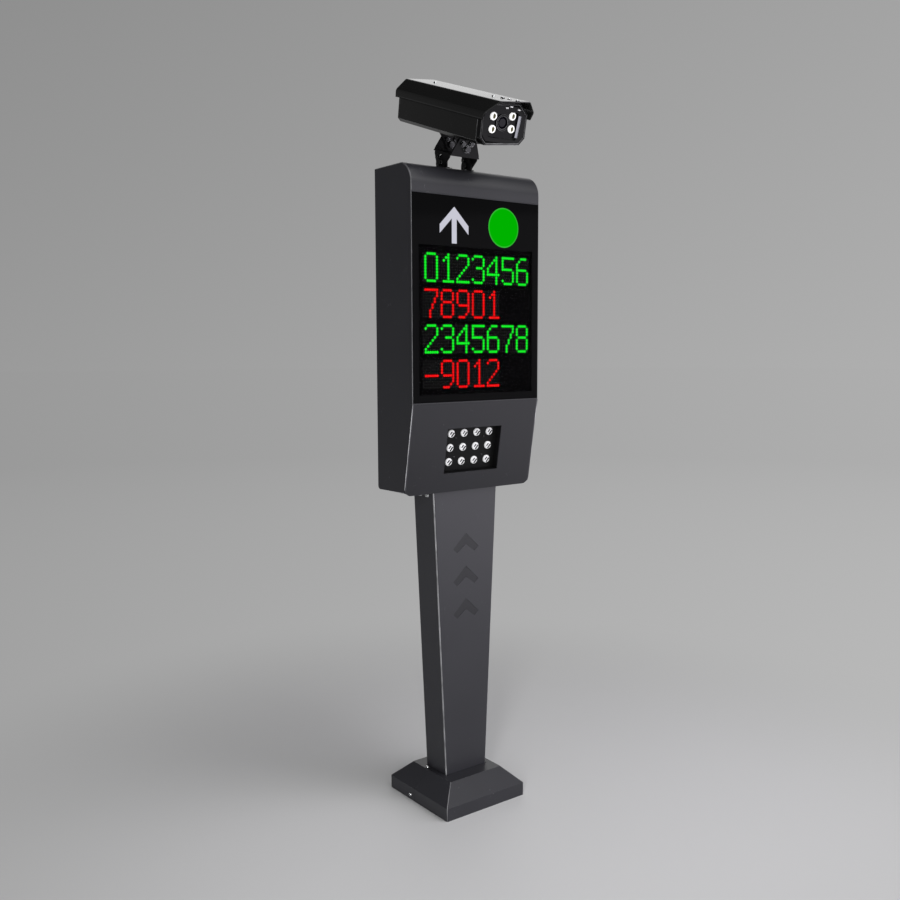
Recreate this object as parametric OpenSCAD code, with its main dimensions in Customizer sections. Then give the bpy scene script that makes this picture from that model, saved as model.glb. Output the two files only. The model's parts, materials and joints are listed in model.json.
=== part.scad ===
// Parking lane terminal: pedestal, display cabinet and number-plate camera
// Millimetres, +Z up, front towards -Y, origin at the centre of the base plate's underside

/* [Base] */
// Spacing of the floor anchors, both ways
anchor_pitch = 150; // [130:1:180]
// Diameter of the anchor holes
anchor_hole_d = 14; // [10:1:18]
// Plate left outside the anchor centres
plate_margin = 20; // [16:1:30]
// Thickness of the base plate
plate_t = 10; // [6:1:16]
// Diameter of the cable entry in the base plate
entry_d = 50; // [30:1:58]
// Gap between the base plate and its cover
plate_gap = 11; // [6:1:20]
// Height of the cover's upright skirt
skirt_h = 28.5; // [22:0.5:40]
// Height of the cover's sloping part
slope_h = 36; // [24:1:50]
// Flat ledge of the cover around the column
plateau_ledge = 14.4; // [12:0.1:22]
// Sheet thickness of the cover
cover_wall = 2; // [1.5:0.5:3]
// Corner radius of the cover
cover_r = 3; // [1:0.5:8]
// Seam of the cover behind the column's centre
seam_y = 14; // [-10:1:24]

/* [Column] */
// Height of the column above its base plate
column_h = 696; // [550:1:900]
// Width of the column at its foot
column_foot_w = 107; // [92:1:130]
// Width of the column at its head
column_head_w = 175; // [140:1:220]
// Depth of the column, front to back
column_d = 72; // [64:1:90]
// Sheet thickness of the column
column_wall = 2.5; // [2:0.5:4]
// Radius of the column's folded front edges
column_fold_r = 4; // [3:0.5:8]
// Width of a chevron
chevron_w = 70; // [40:1:80]
// Height from a chevron's tips to its point
chevron_rise = 33; // [20:1:45]
// Upright thickness of a chevron's arms
chevron_t = 22; // [10:1:28]
// Spacing of the chevrons
chevron_pitch = 73; // [70:1:100]
// Drop from the column's head to the first point
chevron_drop = 103; // [80:1:140]
// Number of chevrons
chevron_count = 3; // [1:1:4]
// Length of the sleeve inside the column's head
spigot_h = 40; // [30:1:50]
// Drop of the side screws below the column's head
side_screw_drop = 14; // [12:1:20]

/* [Cabinet] */
// Reach of the cabinet in front of the column's centre
front_reach = 79.5; // [72:0.5:110]
// Reach of the cabinet behind the column's centre
rear_reach = 51; // [48:0.5:80]
// Height of the slanting lower panel
lower_h = 186; // [180:1:240]
// Set-back of the lower panel at its foot
lower_setback = 31.5; // [15:0.5:36]
// Height of the nose above the display
nose_h = 59; // [54:1:80]
// Radius of the nose
nose_r = 44.5; // [30:0.5:50]
// Overhang of the lower panel below the cabinet's floor
lip_h = 6; // [3:0.5:10]
// Radius of the lower panel's bottom corners
lip_r = 17; // [10:1:24]
// Radius of the cabinet's lower rear edge
heel_r = 8; // [5:1:16]
// Sheet thickness of the cabinet
sheet = 2; // [1.5:0.5:2.5]
// Depth of the rims that are folded in round the side walls
side_rim = 4; // [3:0.5:8]

/* [Display] */
// Width of a dot-matrix module
module_w = 304; // [256:1:384]
// Height of a dot-matrix module
module_h = 76; // [64:1:96]
// Depth of a dot-matrix module
module_t = 12; // [8:1:16]
// Gap between stacked modules
module_gap = 0.3; // [0.1:0.1:1]
// Cabinet left beside the modules
side_margin = 18; // [16:1:30]
// Display left below the modules
foot_margin = 18; // [14:1:30]
// Display left above the lamp
lamp_margin = 12.5; // [11:0.5:30]
// Depth of the display frame
frame_d = 10.4; // [9:0.2:14]
// Rim of the display frame around the window
frame_rim = 1.7; // [1:0.1:3]
// Ledge of the frame behind the window
frame_ledge = 8; // [5:0.5:9]
// Radius of the frame's front edges
frame_r = 2; // [1:0.5:3]
// Thickness of the smoked window
window_t = 4; // [3:0.5:5]
// Diameter of the status lamp
lamp_d = 83; // [50:1:95]
// Status lamp right of the middle
lamp_x = 70; // [50:1:90]

/* [Lamp field] */
// Diameter of a lens
lens_d = 19; // [14:0.5:26]
// Height of the lens grid's middle above the lamp field's middle
lens_lift = 2.5; // [0:0.5:4]
// Spacing of the lenses across
lens_pitch_x = 34.3; // [30:0.1:40]
// Spacing of the lenses down the panel
lens_pitch_t = 31.2; // [28:0.1:34]
// Lenses in a row
lens_cols = 4; // [2:1:4]
// Rows of lenses
lens_rows = 3; // [2:1:3]
// Window left outside the lenses at the sides
light_margin_x = 12.1; // [8:0.1:16]
// Window left outside the lenses above and below
light_margin_t = 8.2; // [6:0.1:10]
// Window centre below the middle of the panel
light_drop = 10; // [0:1:14]
// Recess of the lamp board behind the panel
light_recess = 16; // [12:0.5:20]

/* [Door] */
// Rear wall left beside the door opening
door_border_x = 18; // [18:1:30]
// Rear wall left above and below the door opening
door_border_z = 26; // [24:1:40]
// Gap round the door
door_gap = 1.5; // [1:0.1:3]
// Depth of the door rebate
rebate_d = 11; // [10:0.5:14]
// Diameter of the hinge pins
hinge_pin_d = 4; // [3:0.5:5]
// Diameter of the lock barrel
lock_d = 18.6; // [16:0.1:22]
// Length of the lock cam
cam_l = 34; // [30:1:40]

/* [Bracket] */
// Bracket pivot behind the column's centre
bracket_y = 1; // [-6:1:6]
// Outer width of the bracket's cross
bracket_w = 75; // [70:0.5:90]
// Outer depth of the bracket's cross
bracket_d = 64; // [60:0.5:80]
// Plate thickness of the bracket
bracket_t = 3; // [2.5:0.5:4]
// Height of the tilt pivot above the cabinet
tilt_h = 19.5; // [18:0.5:30]
// Height of the cross web above the tilt pivot
web_h = 20; // [19:0.5:26]
// Height of the lean pivot above the tilt pivot
lean_h = 37; // [36:0.5:48]
// Height of the camera's underside above the lean pivot
saddle_h = 28; // [26:0.5:36]
// Tilt of the camera in the photo, nose down
tilt_rest = 18.8; // [10:0.1:30]
// Lean of the camera in the photo
lean_rest = 6.7; // [0:0.1:10]
// Largest tilt, nose down
tilt_down = 30; // [25:1:32]
// Largest tilt, nose up
tilt_up = 8; // [0:1:10]
// Largest lean either way
lean_max = 12; // [10:1:14]
// Largest pan either way
pan_max = 20; // [10:1:25]
// Diameter of the pivot bolts
pivot_d = 8; // [6:1:9]
// Diameter of the lock bolts
lock_bolt_d = 6; // [5:1:6]

/* [Camera] */
// Length of the sun shield
shield_l = 336; // [300:1:380]
// Reach of the sun shield in front of the lean pivot
shield_reach = 175; // [160:1:200]
// Flat top width of the sun shield
shield_top_w = 75; // [60:1:90]
// Outer width of the sun shield
shield_w = 124; // [110:1:140]
// Height of the shield's sloping shoulders
shoulder_h = 22.5; // [16:0.5:28]
// Height of the shield's upright skirt
shield_skirt_h = 15.3; // [8:0.1:22]
// Sheet thickness of the sun shield
shield_t = 2; // [1:0.5:3]
// Air gap between shield and housing
shield_air = 3; // [2:0.5:5]
// Height from the camera's underside to the shield's top
camera_h = 87.5; // [80:0.5:100]
// Shield in front of the bezel
visor_l = 27; // [20:1:40]
// Set-back of the shield's front at the shoulders
visor_cut = 14; // [6:1:20]
// Housing rear inside the shield's rear
rear_inset = 7.7; // [4:0.1:14]
// Wall thickness of the housing
housing_wall = 3; // [2:0.5:4]
// Chamfer along the housing's lower edges
housing_chamfer = 7; // [4:1:12]
// Chamfer of the bezel's lower corners
bezel_chamfer = 14; // [10:1:18]
// Depth of the bezel
bezel_d = 14; // [12:1:20]
// Depth of the bezel's funnel
funnel_d = 8; // [6:0.5:9]
// Lens centre below the shield's top
lens_drop = 45; // [42:0.5:48]
// Diameter of the lens barrel
barrel_d = 32; // [24:1:33]
// Diameter of a camera lamp
camera_lamp_d = 15; // [10:1:17]
// Camera lamps from the middle
camera_lamp_x = 24; // [23:0.5:26]
// Upper camera lamps above the lens centre
camera_lamp_up = 12.3; // [12:0.1:14]

/* [Equipment] */
// Equipment plate above the display's lower edge
plate_up = 40; // [20:5:80]
// Equipment plate below the display's upper edge
plate_down = 30; // [20:5:60]
// Width of the power supply
supply_w = 160; // [120:5:180]
// Height of the power supply
supply_h = 98; // [60:2:120]
// Depth of the power supply
supply_d = 30; // [24:1:34]
// Power supply above the display's lower edge
supply_up = 235; // [220:5:260]
// Width of the control board
control_w = 150; // [120:5:170]
// Height of the control board
control_h = 100; // [80:5:120]
// Control board above the display's lower edge
control_up = 90; // [60:5:105]
// Length of the terminal rail
terminal_l = 110; // [90:5:120]
// Terminal rail above the display's lower edge
terminal_up = 140; // [80:5:180]
// Width of one terminal
terminal_w = 9; // [6:0.5:10]
// Depth of the heat sink's fins
fin_d = 14; // [8:1:18]
// Sensor board of the camera below the lens centre
sensor_down = 32; // [20:1:33]
// Sensor board of the camera above the lens centre
sensor_up = 24; // [16:1:26]
// Length of the camera's main board
core_l = 90; // [60:5:140]

/* [Fits] */
// Running clearance of a pin or pivot, on the radius
run_fit = 0.05; // [0.02:0.01:0.1]
// Clearance of a screw in its hole, on the radius
screw_fit = 0.2; // [0.1:0.05:0.5]
// Gap between parts set into each other
set_fit = 0.3; // [0.2:0.1:0.6]
// Gap between faces that slide on each other
slip = 0.3; // [0.2:0.05:0.5]

/* [Hidden] */
$fn = 64;
eps = 0.01;

charcoal = [0.09, 0.09, 0.11];
black = [0.03, 0.03, 0.035];
steel = [0.62, 0.63, 0.65];
zinc = [0.5, 0.51, 0.52];
smoke = [0.02, 0.02, 0.025];
green = [0.05, 0.7, 0.1];
white = [0.9, 0.9, 0.92];
board = [0.05, 0.25, 0.12];
rubber = [0.05, 0.05, 0.05];
alu = [0.7, 0.71, 0.73];

// Base and column, derived
plate_size = anchor_pitch + 2 * plate_margin;
plate_r = 8;
base_size = plate_size + 2 * (plate_gap + cover_wall);
cover_h = skirt_h + slope_h;
cabinet_z = plate_t + column_h;
column_taper = atan((column_head_w - column_foot_w) / 2 / column_h);
function column_half(z) = (column_foot_w + (column_head_w - column_foot_w) * (z - plate_t) / column_h) / 2;
plateau_size = 2 * column_half(cover_h) + 2 * plateau_ledge;
slope_m = slope_h / ((base_size - plateau_size) / 2);
slope_s = sqrt(1 + slope_m * slope_m);
inner_skirt_h = skirt_h + cover_wall * (slope_m - slope_s);
inner_plateau = base_size - 2 * (slope_h - cover_wall + cover_wall * slope_s) / slope_m;
cover_gap = 1.5;
tongue_t = 2;
cover_screw_d = 5;
skirt_screw_z = 11.4;
skirt_screw_y = seam_y + 15;
ledge_screw_x = column_half(cover_h) + cover_gap + 6;
ledge_screw_y = seam_y + 10;
gusset_t = 6;
gusset_y = 20;
column_flange = 14;
rear_z0 = plate_t + cover_h;
rear_z1 = cabinet_z - spigot_h - 15;
rear_lap = 8;
rear_screw_d = 4;
side_screw_d = 6;
side_screw_y = 12.6;
spigot_wall = 3;
spigot_top = 5;
spigot_bolt_d = 8;
spigot_bolt_x = column_half(cabinet_z - spigot_h) - 30;
spigot_bolt_y = column_d / 2 - 18;
riser_d = min(entry_d, 2 * (spigot_bolt_x - 12));
chevron_band = chevron_pitch * (chevron_count - 1) + chevron_rise + chevron_t;
chevron_top = cabinet_z - chevron_drop;

// Cabinet and display, derived
cup_wall = 2;
cup_r = lamp_d / 2 + 3.5;
cup_gap = 0.5;
module_count = 4;
module_stack = module_count * module_h;
display_h = foot_margin + module_stack + cup_gap + 2 * cup_r + lamp_margin;
display_z0 = cabinet_z + lower_h;
display_z1 = display_z0 + display_h;
cabinet_top = display_z1 + nose_h;
cabinet_w = module_w + 2 * side_margin;
half_w = cabinet_w / 2;
inner_x = half_w - sheet;
nose_crown = 1.5;
nose_y = nose_r - front_reach;
nose_z = cabinet_top + nose_crown - nose_r;
slant = atan(lower_setback / lower_h);
slant_m = lower_setback / lower_h;
slant_s = sqrt(1 + slant_m * slant_m);
slant_len = lower_h * slant_s;
lip_end = slant_len + lip_h;
side_split = half_w - side_rim;
lip_y = lip_end * sin(slant) - front_reach;
lip_z = display_z0 - lip_end * cos(slant);
toe_y = lower_setback - front_reach;
frame_back = frame_d - front_reach;
flange_back = frame_back + sheet;
opening_in = frame_rim + frame_ledge + set_fit + 2;
module_z0 = display_z0 + foot_margin;
window_y = 0.5 - front_reach;
module_y = window_y + window_t + 2.5;
module_back = module_y + module_t;
lamp_z = module_z0 + module_stack + cup_gap + cup_r;
rail_t = 3;
rail_w = 18;
rail_x = module_w / 2 - 21;
cup_back = window_y + window_t + 18;

// Lamp field, derived
light_w = (lens_cols - 1) * lens_pitch_x + lens_d + 2 * light_margin_x;
light_h = (lens_rows - 1) * lens_pitch_t + lens_d + 2 * light_margin_t;
light_t = -(slant_len / 2 + light_drop);
light_board_t = 1.6;
tray_wall = 2;
tray_lip = 8;
tray_floor = -(light_recess + light_board_t);
lens_rise = 5;

// Door, derived
door_x = half_w - door_border_x;
door_z0 = cabinet_z + door_border_z;
door_z1 = cabinet_top - door_border_z;
rear_in = rear_reach - sheet;
rear_seam = rear_reach - heel_r - 1;
floor_y = toe_y + 6;
rebate_y = rear_in - rebate_d;
frame_t = 2;
door_lip = 24;
gasket_w = 8;
gasket_t = 3;
hinge_r = hinge_pin_d / 2 + 2;
hinge_x = door_x - door_gap / 2;
hinge_y = rear_reach + hinge_r + 0.2;
leaf_t = 2;
leaf_w = 16;
knuckle_h = 20;
hinge_z = [door_z0 + 90, door_z1 - 90];
lock_x = -(door_x - door_lip - 17);
lock_z = (door_z0 + door_z1) / 2;
lock_in = rebate_y - 2 - frame_t;
plug_r = lock_d / 2 - 3.3;
cam_t = 3;
cam_w = 16;
plate_y = -22;
plate_back = plate_y + 2;

// Bracket and camera, derived
ear_gap = 0.7;
cross_x = bracket_w / 2;
cross_y = bracket_d / 2;
base_x = cross_x - bracket_t - ear_gap;
saddle_y = cross_y - bracket_t - ear_gap;
pan_r = 22.4;
pan_a = 26.6;
pan_bolt_d = 6;
tilt_lock_r = 14.4;
tilt_lock_a = 28;
lean_lock_r = 15.6;
lean_lock_a = 45;
base_ear_r = 17;
cross_ear_r = 16;
saddle_ear_r = 12.5;
shield_top = saddle_h + camera_h;
shoulder_z = shield_top - shoulder_h;
shield_skirt_z = shoulder_z - shield_skirt_h;
shield_front = -shield_reach;
shield_rear = shield_l - shield_reach;
bezel_front = shield_front + visor_l;
bezel_back = bezel_front + bezel_d;
housing_half = shield_w / 2 - shield_t - shield_air;
cap_t = 4;
cap_rear = shield_rear - rear_inset;
cap_front = cap_rear - cap_t;
housing_top = shield_top - shield_t - shield_air - 2;
shoulder_in = shield_t + shield_air + 1;
top_half = shield_top_w / 2 - 2;
glass_front = bezel_front + funnel_d;
glass_t = 3;
lens_z = shield_top - lens_drop;
barrel_front = glass_front - 3;
barrel_back = bezel_back + 40;
post_y = [shield_front + visor_l + 45, cap_front - 45];
gland_r = 8;
gland_x = 22;
gland_z = saddle_h + 24;

// Outline of the housing, counter-clockwise, with a given lower chamfer
function housing_points(c) = [
    [-(housing_half - c), saddle_h], [housing_half - c, saddle_h], [housing_half, saddle_h + c],
    [housing_half, shoulder_z - shoulder_in], [top_half, housing_top], [-top_half, housing_top],
    [-housing_half, shoulder_z - shoulder_in], [-housing_half, saddle_h + c]];

// Outline moved inwards by i, for counter-clockwise outlines
function inset(p, i) = let (n = len(p)) [for (k = [0 : n - 1])
    let (a = p[(k + n - 1) % n], b = p[k], c = p[(k + 1) % n],
        u = (b - a) / norm(b - a), v = (c - b) / norm(c - b),
        n1 = [u[1], -u[0]], n2 = [v[1], -v[0]])
    b - i * (n1 + n2) / (1 + n1 * n2)];

module slab(x0, x1, y0, y1, z0, z1) {
    translate([x0, y0, z0]) cube([x1 - x0, y1 - y0, z1 - z0]);
}

module rod_x(r, x0, x1) {
    translate([x0, 0, 0]) rotate([0, 90, 0]) cylinder(h = x1 - x0, r = r);
}

module rod_y(r, y0, y1) {
    translate([0, y0, 0]) rotate([-90, 0, 0]) cylinder(h = y1 - y0, r = r);
}

module rod_z(r, z0, z1) {
    translate([0, 0, z0]) cylinder(h = z1 - z0, r = r);
}

module along_x(x0, x1) {
    translate([x0, 0, 0]) rotate([90, 0, 90]) linear_extrude(x1 - x0) children();
}

module along_y(y0, y1) {
    translate([0, y1, 0]) rotate([90, 0, 0]) linear_extrude(y1 - y0) children();
}

module both_x() {
    children();
    mirror([1, 0, 0]) children();
}

module rounded_square(w, d, r) {
    square([w - 2 * r, d], center = true);
    square([w, d - 2 * r], center = true);
    for (x = [-1, 1], y = [-1, 1]) translate([x * (w / 2 - r), y * (d / 2 - r)]) circle(r);
}

// Slot along an arc about the origin, with flat ends
module arc_slot(r, a0, a1, w) {
    m = (a0 + a1) / 2;
    d = 2 * asin(w / 4 / r);
    difference() {
        intersection() {
            circle(r + w / 2);
            polygon([[0, 0], 2 * r * [cos(a0 - d), sin(a0 - d)], 3 * r * [cos(m), sin(m)],
                2 * r * [cos(a1 + d), sin(a1 + d)]]);
        }
        circle(r - w / 2);
    }
}

// Screw with a domed socket head, head outwards along +Z
module button_screw(d, l) {
    difference() {
        union() {
            cylinder(h = 0.55 * d, r1 = 0.95 * d, r2 = 0.65 * d);
            rod_z(d / 2, -l, eps);
        }
        rod_z_hex(0.3 * d, 0.25 * d, d);
    }
}

module rod_z_hex(r, z0, z1) {
    translate([0, 0, z0]) cylinder(h = z1 - z0, r = r, $fn = 6);
}

// Hexagon bolt with a washer, head outwards along +Z, nut from -nut_z downwards
module hex_bolt(d, l, nut_z) {
    rod_z(d, 0, 1.2);
    rod_z_hex(0.9 * d, 1.2, 1.2 + 0.6 * d);
    rod_z(d / 2, -l, eps);
    if (nut_z > 0) rod_z_hex(0.9 * d, -nut_z - 0.6 * d, -nut_z);
}

// Solid block with the column's taper
module column_block(ix, y0, y1, z0, z1) {
    along_y(y0, y1) polygon([
        [-(column_half(z0) - ix), z0], [column_half(z0) - ix, z0],
        [column_half(z1) - ix, z1], [-(column_half(z1) - ix), z1]]);
}

// Places children on the column's side wall, outwards along +Z
module on_column_side(side, y, z) {
    translate([side * column_half(z), y, z]) rotate([0, side * (90 + column_taper), 0]) children();
}

module column_outer() {
    rx = column_fold_r / cos(column_taper);
    front = -column_d / 2;
    intersection() {
        union() {
            column_block(0, front + column_fold_r, column_d / 2, plate_t, cabinet_z);
            column_block(rx, front, front + column_fold_r + 1, plate_t, cabinet_z);
            both_x() translate([column_half(plate_t) - rx, front + column_fold_r, plate_t])
                rotate([0, column_taper, 0]) rod_z(column_fold_r, -20, column_h + 20);
        }
        slab(-column_head_w, column_head_w, -column_d, column_d, plate_t, cabinet_z);
    }
}

// One chevron with its point at the origin, shrunk by a gap
module chevron(gap) {
    h = chevron_w / 2;
    tip = 11;
    slope = chevron_rise / h;
    polygon(inset([
        [0, 0], [-h, -chevron_rise], [-(h - tip), -chevron_rise - tip * 0.85],
        [0, -chevron_t - (tip * 0.85 + chevron_rise - slope * (h - tip)) / 8],
        [h - tip, -chevron_rise - tip * 0.85], [h, -chevron_rise]], gap));
}

module chevrons(gap) {
    for (k = [0 : chevron_count - 1]) translate([0, chevron_top - k * chevron_pitch]) chevron(gap);
}

module base_plate() color(zinc) difference() {
    linear_extrude(plate_t) rounded_square(plate_size, plate_size, plate_r);
    for (x = [-1, 1], y = [-1, 1])
        translate([x * anchor_pitch / 2, y * anchor_pitch / 2, 0]) rod_z(anchor_hole_d / 2, -1, plate_t + 1);
    rod_z(entry_d / 2, -1, plate_t + 1);
}

module foot_gussets() color(charcoal) {
    g = min(24, plate_size / 2 - column_half(plate_t) - 4);
    for (y = [-1, 1]) both_x() translate([0, y * gusset_y, 0]) along_y(-gusset_t / 2, gusset_t / 2) polygon([
        [column_half(plate_t), plate_t], [column_half(plate_t) + g, plate_t],
        [column_half(plate_t) + g, plate_t + 6], [column_half(plate_t + 36) + 4, plate_t + 36],
        [column_half(plate_t + 36), plate_t + 36]]);
}

module column_shell() color(charcoal) difference() {
    column_outer();
    column_block(column_wall, column_wall - column_d / 2, column_d / 2 - 2 * column_wall, 0, cabinet_z + 1);
    column_block(column_wall + column_flange, 0, column_d, rear_z0 + rear_lap, rear_z1 - rear_lap);
    column_block(column_wall, column_d / 2 - column_wall, column_d, rear_z0 - set_fit, rear_z1 + set_fit);
    along_y(-column_d, 0) chevrons(0);
    for (s = [-1, 1], y = [-1, 1]) on_column_side(s, y * side_screw_y, cabinet_z - side_screw_drop)
        rod_z(side_screw_d / 2 + screw_fit, -6, 2);
    rear_screw_places() rod_y(rear_screw_d / 2 + screw_fit, -column_d / 4, column_d);
}

module rear_screw_places() {
    for (k = [0 : 3]) {
        z = rear_z0 + 20 + k * (rear_z1 - rear_z0 - 40) / 3;
        both_x() translate([column_half(z) - column_wall - column_flange / 2 - 1, 0, z]) children();
    }
}

module column_rear_cover() color(charcoal) difference() {
    column_block(column_wall + set_fit, column_d / 2 - column_wall, column_d / 2, rear_z0, rear_z1);
    rear_screw_places() rod_y(rear_screw_d / 2 + screw_fit, 0, column_d);
}

module chevron_lens() color(smoke) {
    y0 = column_wall - column_d / 2;
    z0 = chevron_top - chevron_band - 4;
    hw = min(chevron_w / 2 + 6, column_half(z0) - column_wall - 2);
    slab(-hw, hw, y0, y0 + 3, z0, chevron_top + 6);
    along_y(0.3 - column_d / 2, y0 + eps) chevrons(0.15);
}

module chevron_board() color(board) {
    y0 = column_wall - column_d / 2 + 3;
    z0 = chevron_top - chevron_band;
    slab(-10, 10, y0 + 2, y0 + 3.6, z0, chevron_top);
    for (k = [0 : 2]) slab(-10, 10, y0, y0 + 2 + eps, z0 + k * (chevron_band - 6) / 2, z0 + 6 + k * (chevron_band - 6) / 2);
}

module spigot() color(zinc) {
    ix = column_wall + set_fit;
    y0 = column_wall + set_fit - column_d / 2;
    y1 = column_d / 2 - 2 * column_wall - set_fit;
    difference() {
        column_block(ix, y0, y1, cabinet_z - spigot_h, cabinet_z);
        column_block(ix + spigot_wall, y0 + spigot_wall, y1 - spigot_wall, 0, cabinet_z - spigot_top);
        rod_z(riser_d / 2, 0, cabinet_z + 1);
        spigot_bolt_places() rod_z(spigot_bolt_d / 2 + screw_fit, -20, 1);
        for (s = [-1, 1], y = [-1, 1]) on_column_side(s, y * side_screw_y, cabinet_z - side_screw_drop)
            rod_z(side_screw_d / 2 + screw_fit, -10, 2);
    }
}

module spigot_bolt_places() {
    for (x = [-1, 1], y = [-1, 1]) translate([x * spigot_bolt_x, y * spigot_bolt_y, cabinet_z]) children();
}

module spigot_bolts() color(steel) spigot_bolt_places()
    translate([0, 0, sheet]) hex_bolt(spigot_bolt_d, sheet + spigot_top + 7, sheet + spigot_top);

// Screws of the column: into the spigot at its top, and of its rear cover
module column_screws() color(steel) {
    for (s = [-1, 1], y = [-1, 1]) on_column_side(s, y * side_screw_y, cabinet_z - side_screw_drop)
        button_screw(side_screw_d, column_wall + set_fit + spigot_wall + 1);
    rear_screw_places() translate([0, column_d / 2, 0]) rotate([-90, 0, 0])
        button_screw(rear_screw_d, 2 * column_wall + 4);
}

module cover_solid(size, sk, top, h, r, z0) {
    hull() {
        translate([0, 0, z0]) linear_extrude(sk - z0) rounded_square(size, size, r, $fn = 32);
        translate([0, 0, h - eps]) linear_extrude(eps) rounded_square(top, top, r, $fn = 32);
    }
}

module base_cover() {
    cx = column_half(cover_h) + cover_gap;
    cy = column_d / 2 + cover_gap;
    difference() {
        cover_solid(base_size, skirt_h, plateau_size, cover_h, cover_r, 0);
        cover_solid(base_size - 2 * cover_wall, inner_skirt_h, inner_plateau, cover_h - cover_wall,
            max(cover_r - cover_wall, 0.5), -1);
        slab(-cx, cx, -cy, cy, 0, cover_h + 1);
    }
}

module skirt_screw_places() {
    for (s = [-1, 1]) translate([s * base_size / 2, skirt_screw_y, skirt_screw_z]) rotate([0, s * 90, 0]) children();
}

module ledge_screw_places() {
    for (s = [-1, 1]) translate([s * ledge_screw_x, ledge_screw_y, cover_h]) children();
}

module base_cover_front() color(charcoal) {
    tx = base_size / 2 - cover_wall - set_fit;
    tz = cover_h - cover_wall - set_fit;
    difference() {
        union() {
            intersection() {
                base_cover();
                slab(-base_size, base_size, -base_size, seam_y - set_fit / 2, -1, cover_h + 1);
            }
            both_x() {
                slab(tx - tongue_t, tx, seam_y - 16, skirt_screw_y + 8, 4, 19);
                slab(tx - tongue_t, tx + set_fit + 0.5, seam_y - 16, seam_y - 2, 4, 19);
                slab(ledge_screw_x - 5, ledge_screw_x + 5, seam_y - 12, ledge_screw_y + 6, tz - tongue_t, tz);
                slab(ledge_screw_x - 5, ledge_screw_x + 5, seam_y - 12, seam_y - 2, tz - tongue_t, tz + set_fit + 0.5);
            }
        }
        skirt_screw_places() rod_z(cover_screw_d / 2 + screw_fit, -10, 1);
        ledge_screw_places() rod_z(cover_screw_d / 2 + screw_fit, -10, 1);
    }
}

module base_cover_rear() color(charcoal) difference() {
    intersection() {
        base_cover();
        slab(-base_size, base_size, seam_y + set_fit / 2, base_size, -1, cover_h + 1);
    }
    skirt_screw_places() rod_z(cover_screw_d / 2 + screw_fit, -10, 1);
    ledge_screw_places() rod_z(cover_screw_d / 2 + screw_fit, -10, 1);
}

module base_cover_screws() color(steel) {
    skirt_screw_places() button_screw(cover_screw_d, cover_wall + set_fit + tongue_t + 2);
    ledge_screw_places() button_screw(cover_screw_d, cover_wall + set_fit + tongue_t + 2);
}

// Side outline of the cabinet, moved inwards by i; x is the depth, y the height
module cabinet_profile(i, lip = false) {
    f = i - front_reach;
    r = rear_reach - i;
    b = cabinet_z + i;
    t = cabinet_top - i;
    intersection() {
        translate([nose_y, nose_z]) circle(nose_r - i);
        translate([-front_reach - 1, display_z0]) square([front_reach + rear_reach, t - display_z0]);
    }
    translate([nose_y, nose_z - 1]) square([r - nose_y, t - nose_z + 1]);
    translate([f, display_z0 - eps]) square([r - f, nose_z - display_z0 + eps]);
    toe = toe_y + i * (slant_s - slant_m);
    polygon(concat(
        [[f, display_z0]],
        lip ? [[lip_y, lip_z], [lip_y + sheet * cos(slant), lip_z + sheet * sin(slant)]] : [],
        [[lip ? toe_y + sheet * slant_s : toe, b], [r - heel_r + i, b], [r, cabinet_z + heel_r], [r, display_z0]]));
    translate([rear_reach - heel_r, cabinet_z + heel_r]) circle(heel_r - i);
}

// Places children on the lower panel: +Y up the slant, +Z outwards, origin at its upper edge
module on_slant() {
    translate([0, -front_reach, display_z0]) rotate([90 + slant, 0, 0]) children();
}

// Rounded lower corner of the lower panel on side s, from the side down to the lower edge
function lip_corner(s, x, r, first, last) = [for (k = [0:6]) let (a = first + (last - first) * k / 6)
    [s * (x - r + r * cos(a)), r - lip_end - r * sin(a)]];

// What is cut off the lower panel's overhang to round its corners
module lip_cut() {
    a = asin((lip_r + 1 - lip_h) / lip_r);
    for (s = [-1, 1]) translate([0, 0, -2 * sheet]) linear_extrude(2 * sheet + 1) polygon(concat(
        [[s * (half_w + 5), -slant_len - 1]], lip_corner(s, half_w, lip_r, a, 90),
        [[s * (half_w - lip_r), -lip_end - 10], [s * (half_w + 5), -lip_end - 10]]));
}

// What is cut off the front of a side wall's lower corner, so that the panel's rounding shows
module lip_relief(s) {
    x = half_w + 0.3;
    t = 0.75 * sheet;
    translate([0, 0, -t]) linear_extrude(t + 1) polygon(concat(
        [[s * (x + 5), lip_r - lip_end]], lip_corner(s, x, lip_r, 0, 90),
        [[s * (x - lip_r), -lip_end - 10], [s * (x + 5), -lip_end - 10]]));
}

// Room of the cabinet's floor, between the front's lower fold and the rear frame
module floor_zone() slab(-cabinet_w, cabinet_w, floor_y, rear_seam, cabinet_z - 1, cabinet_z + sheet + 1);

// Room of the cabinet's rear frame with its folded returns
module rear_zone() slab(-cabinet_w, cabinet_w, rear_seam, rear_reach + 1, cabinet_z - 1, cabinet_top + 1);

module cabinet_shell() color(charcoal) difference() {
    cabinet_walls(-side_split, side_split, true);
    on_slant() lip_cut();
    floor_zone();
    rear_zone();
}

module cabinet_sides() color(charcoal) difference() {
    union() {
        cabinet_walls(-half_w, -side_split);
        cabinet_walls(side_split, half_w);
    }
    on_slant() lip_relief(-1);
    on_slant() lip_relief(1);
}

module cabinet_floor() color(charcoal) intersection() {
    cabinet_walls(-side_split, side_split);
    floor_zone();
}

module cabinet_rear() color(charcoal) intersection() {
    cabinet_walls(-side_split, side_split);
    rear_zone();
}

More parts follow.
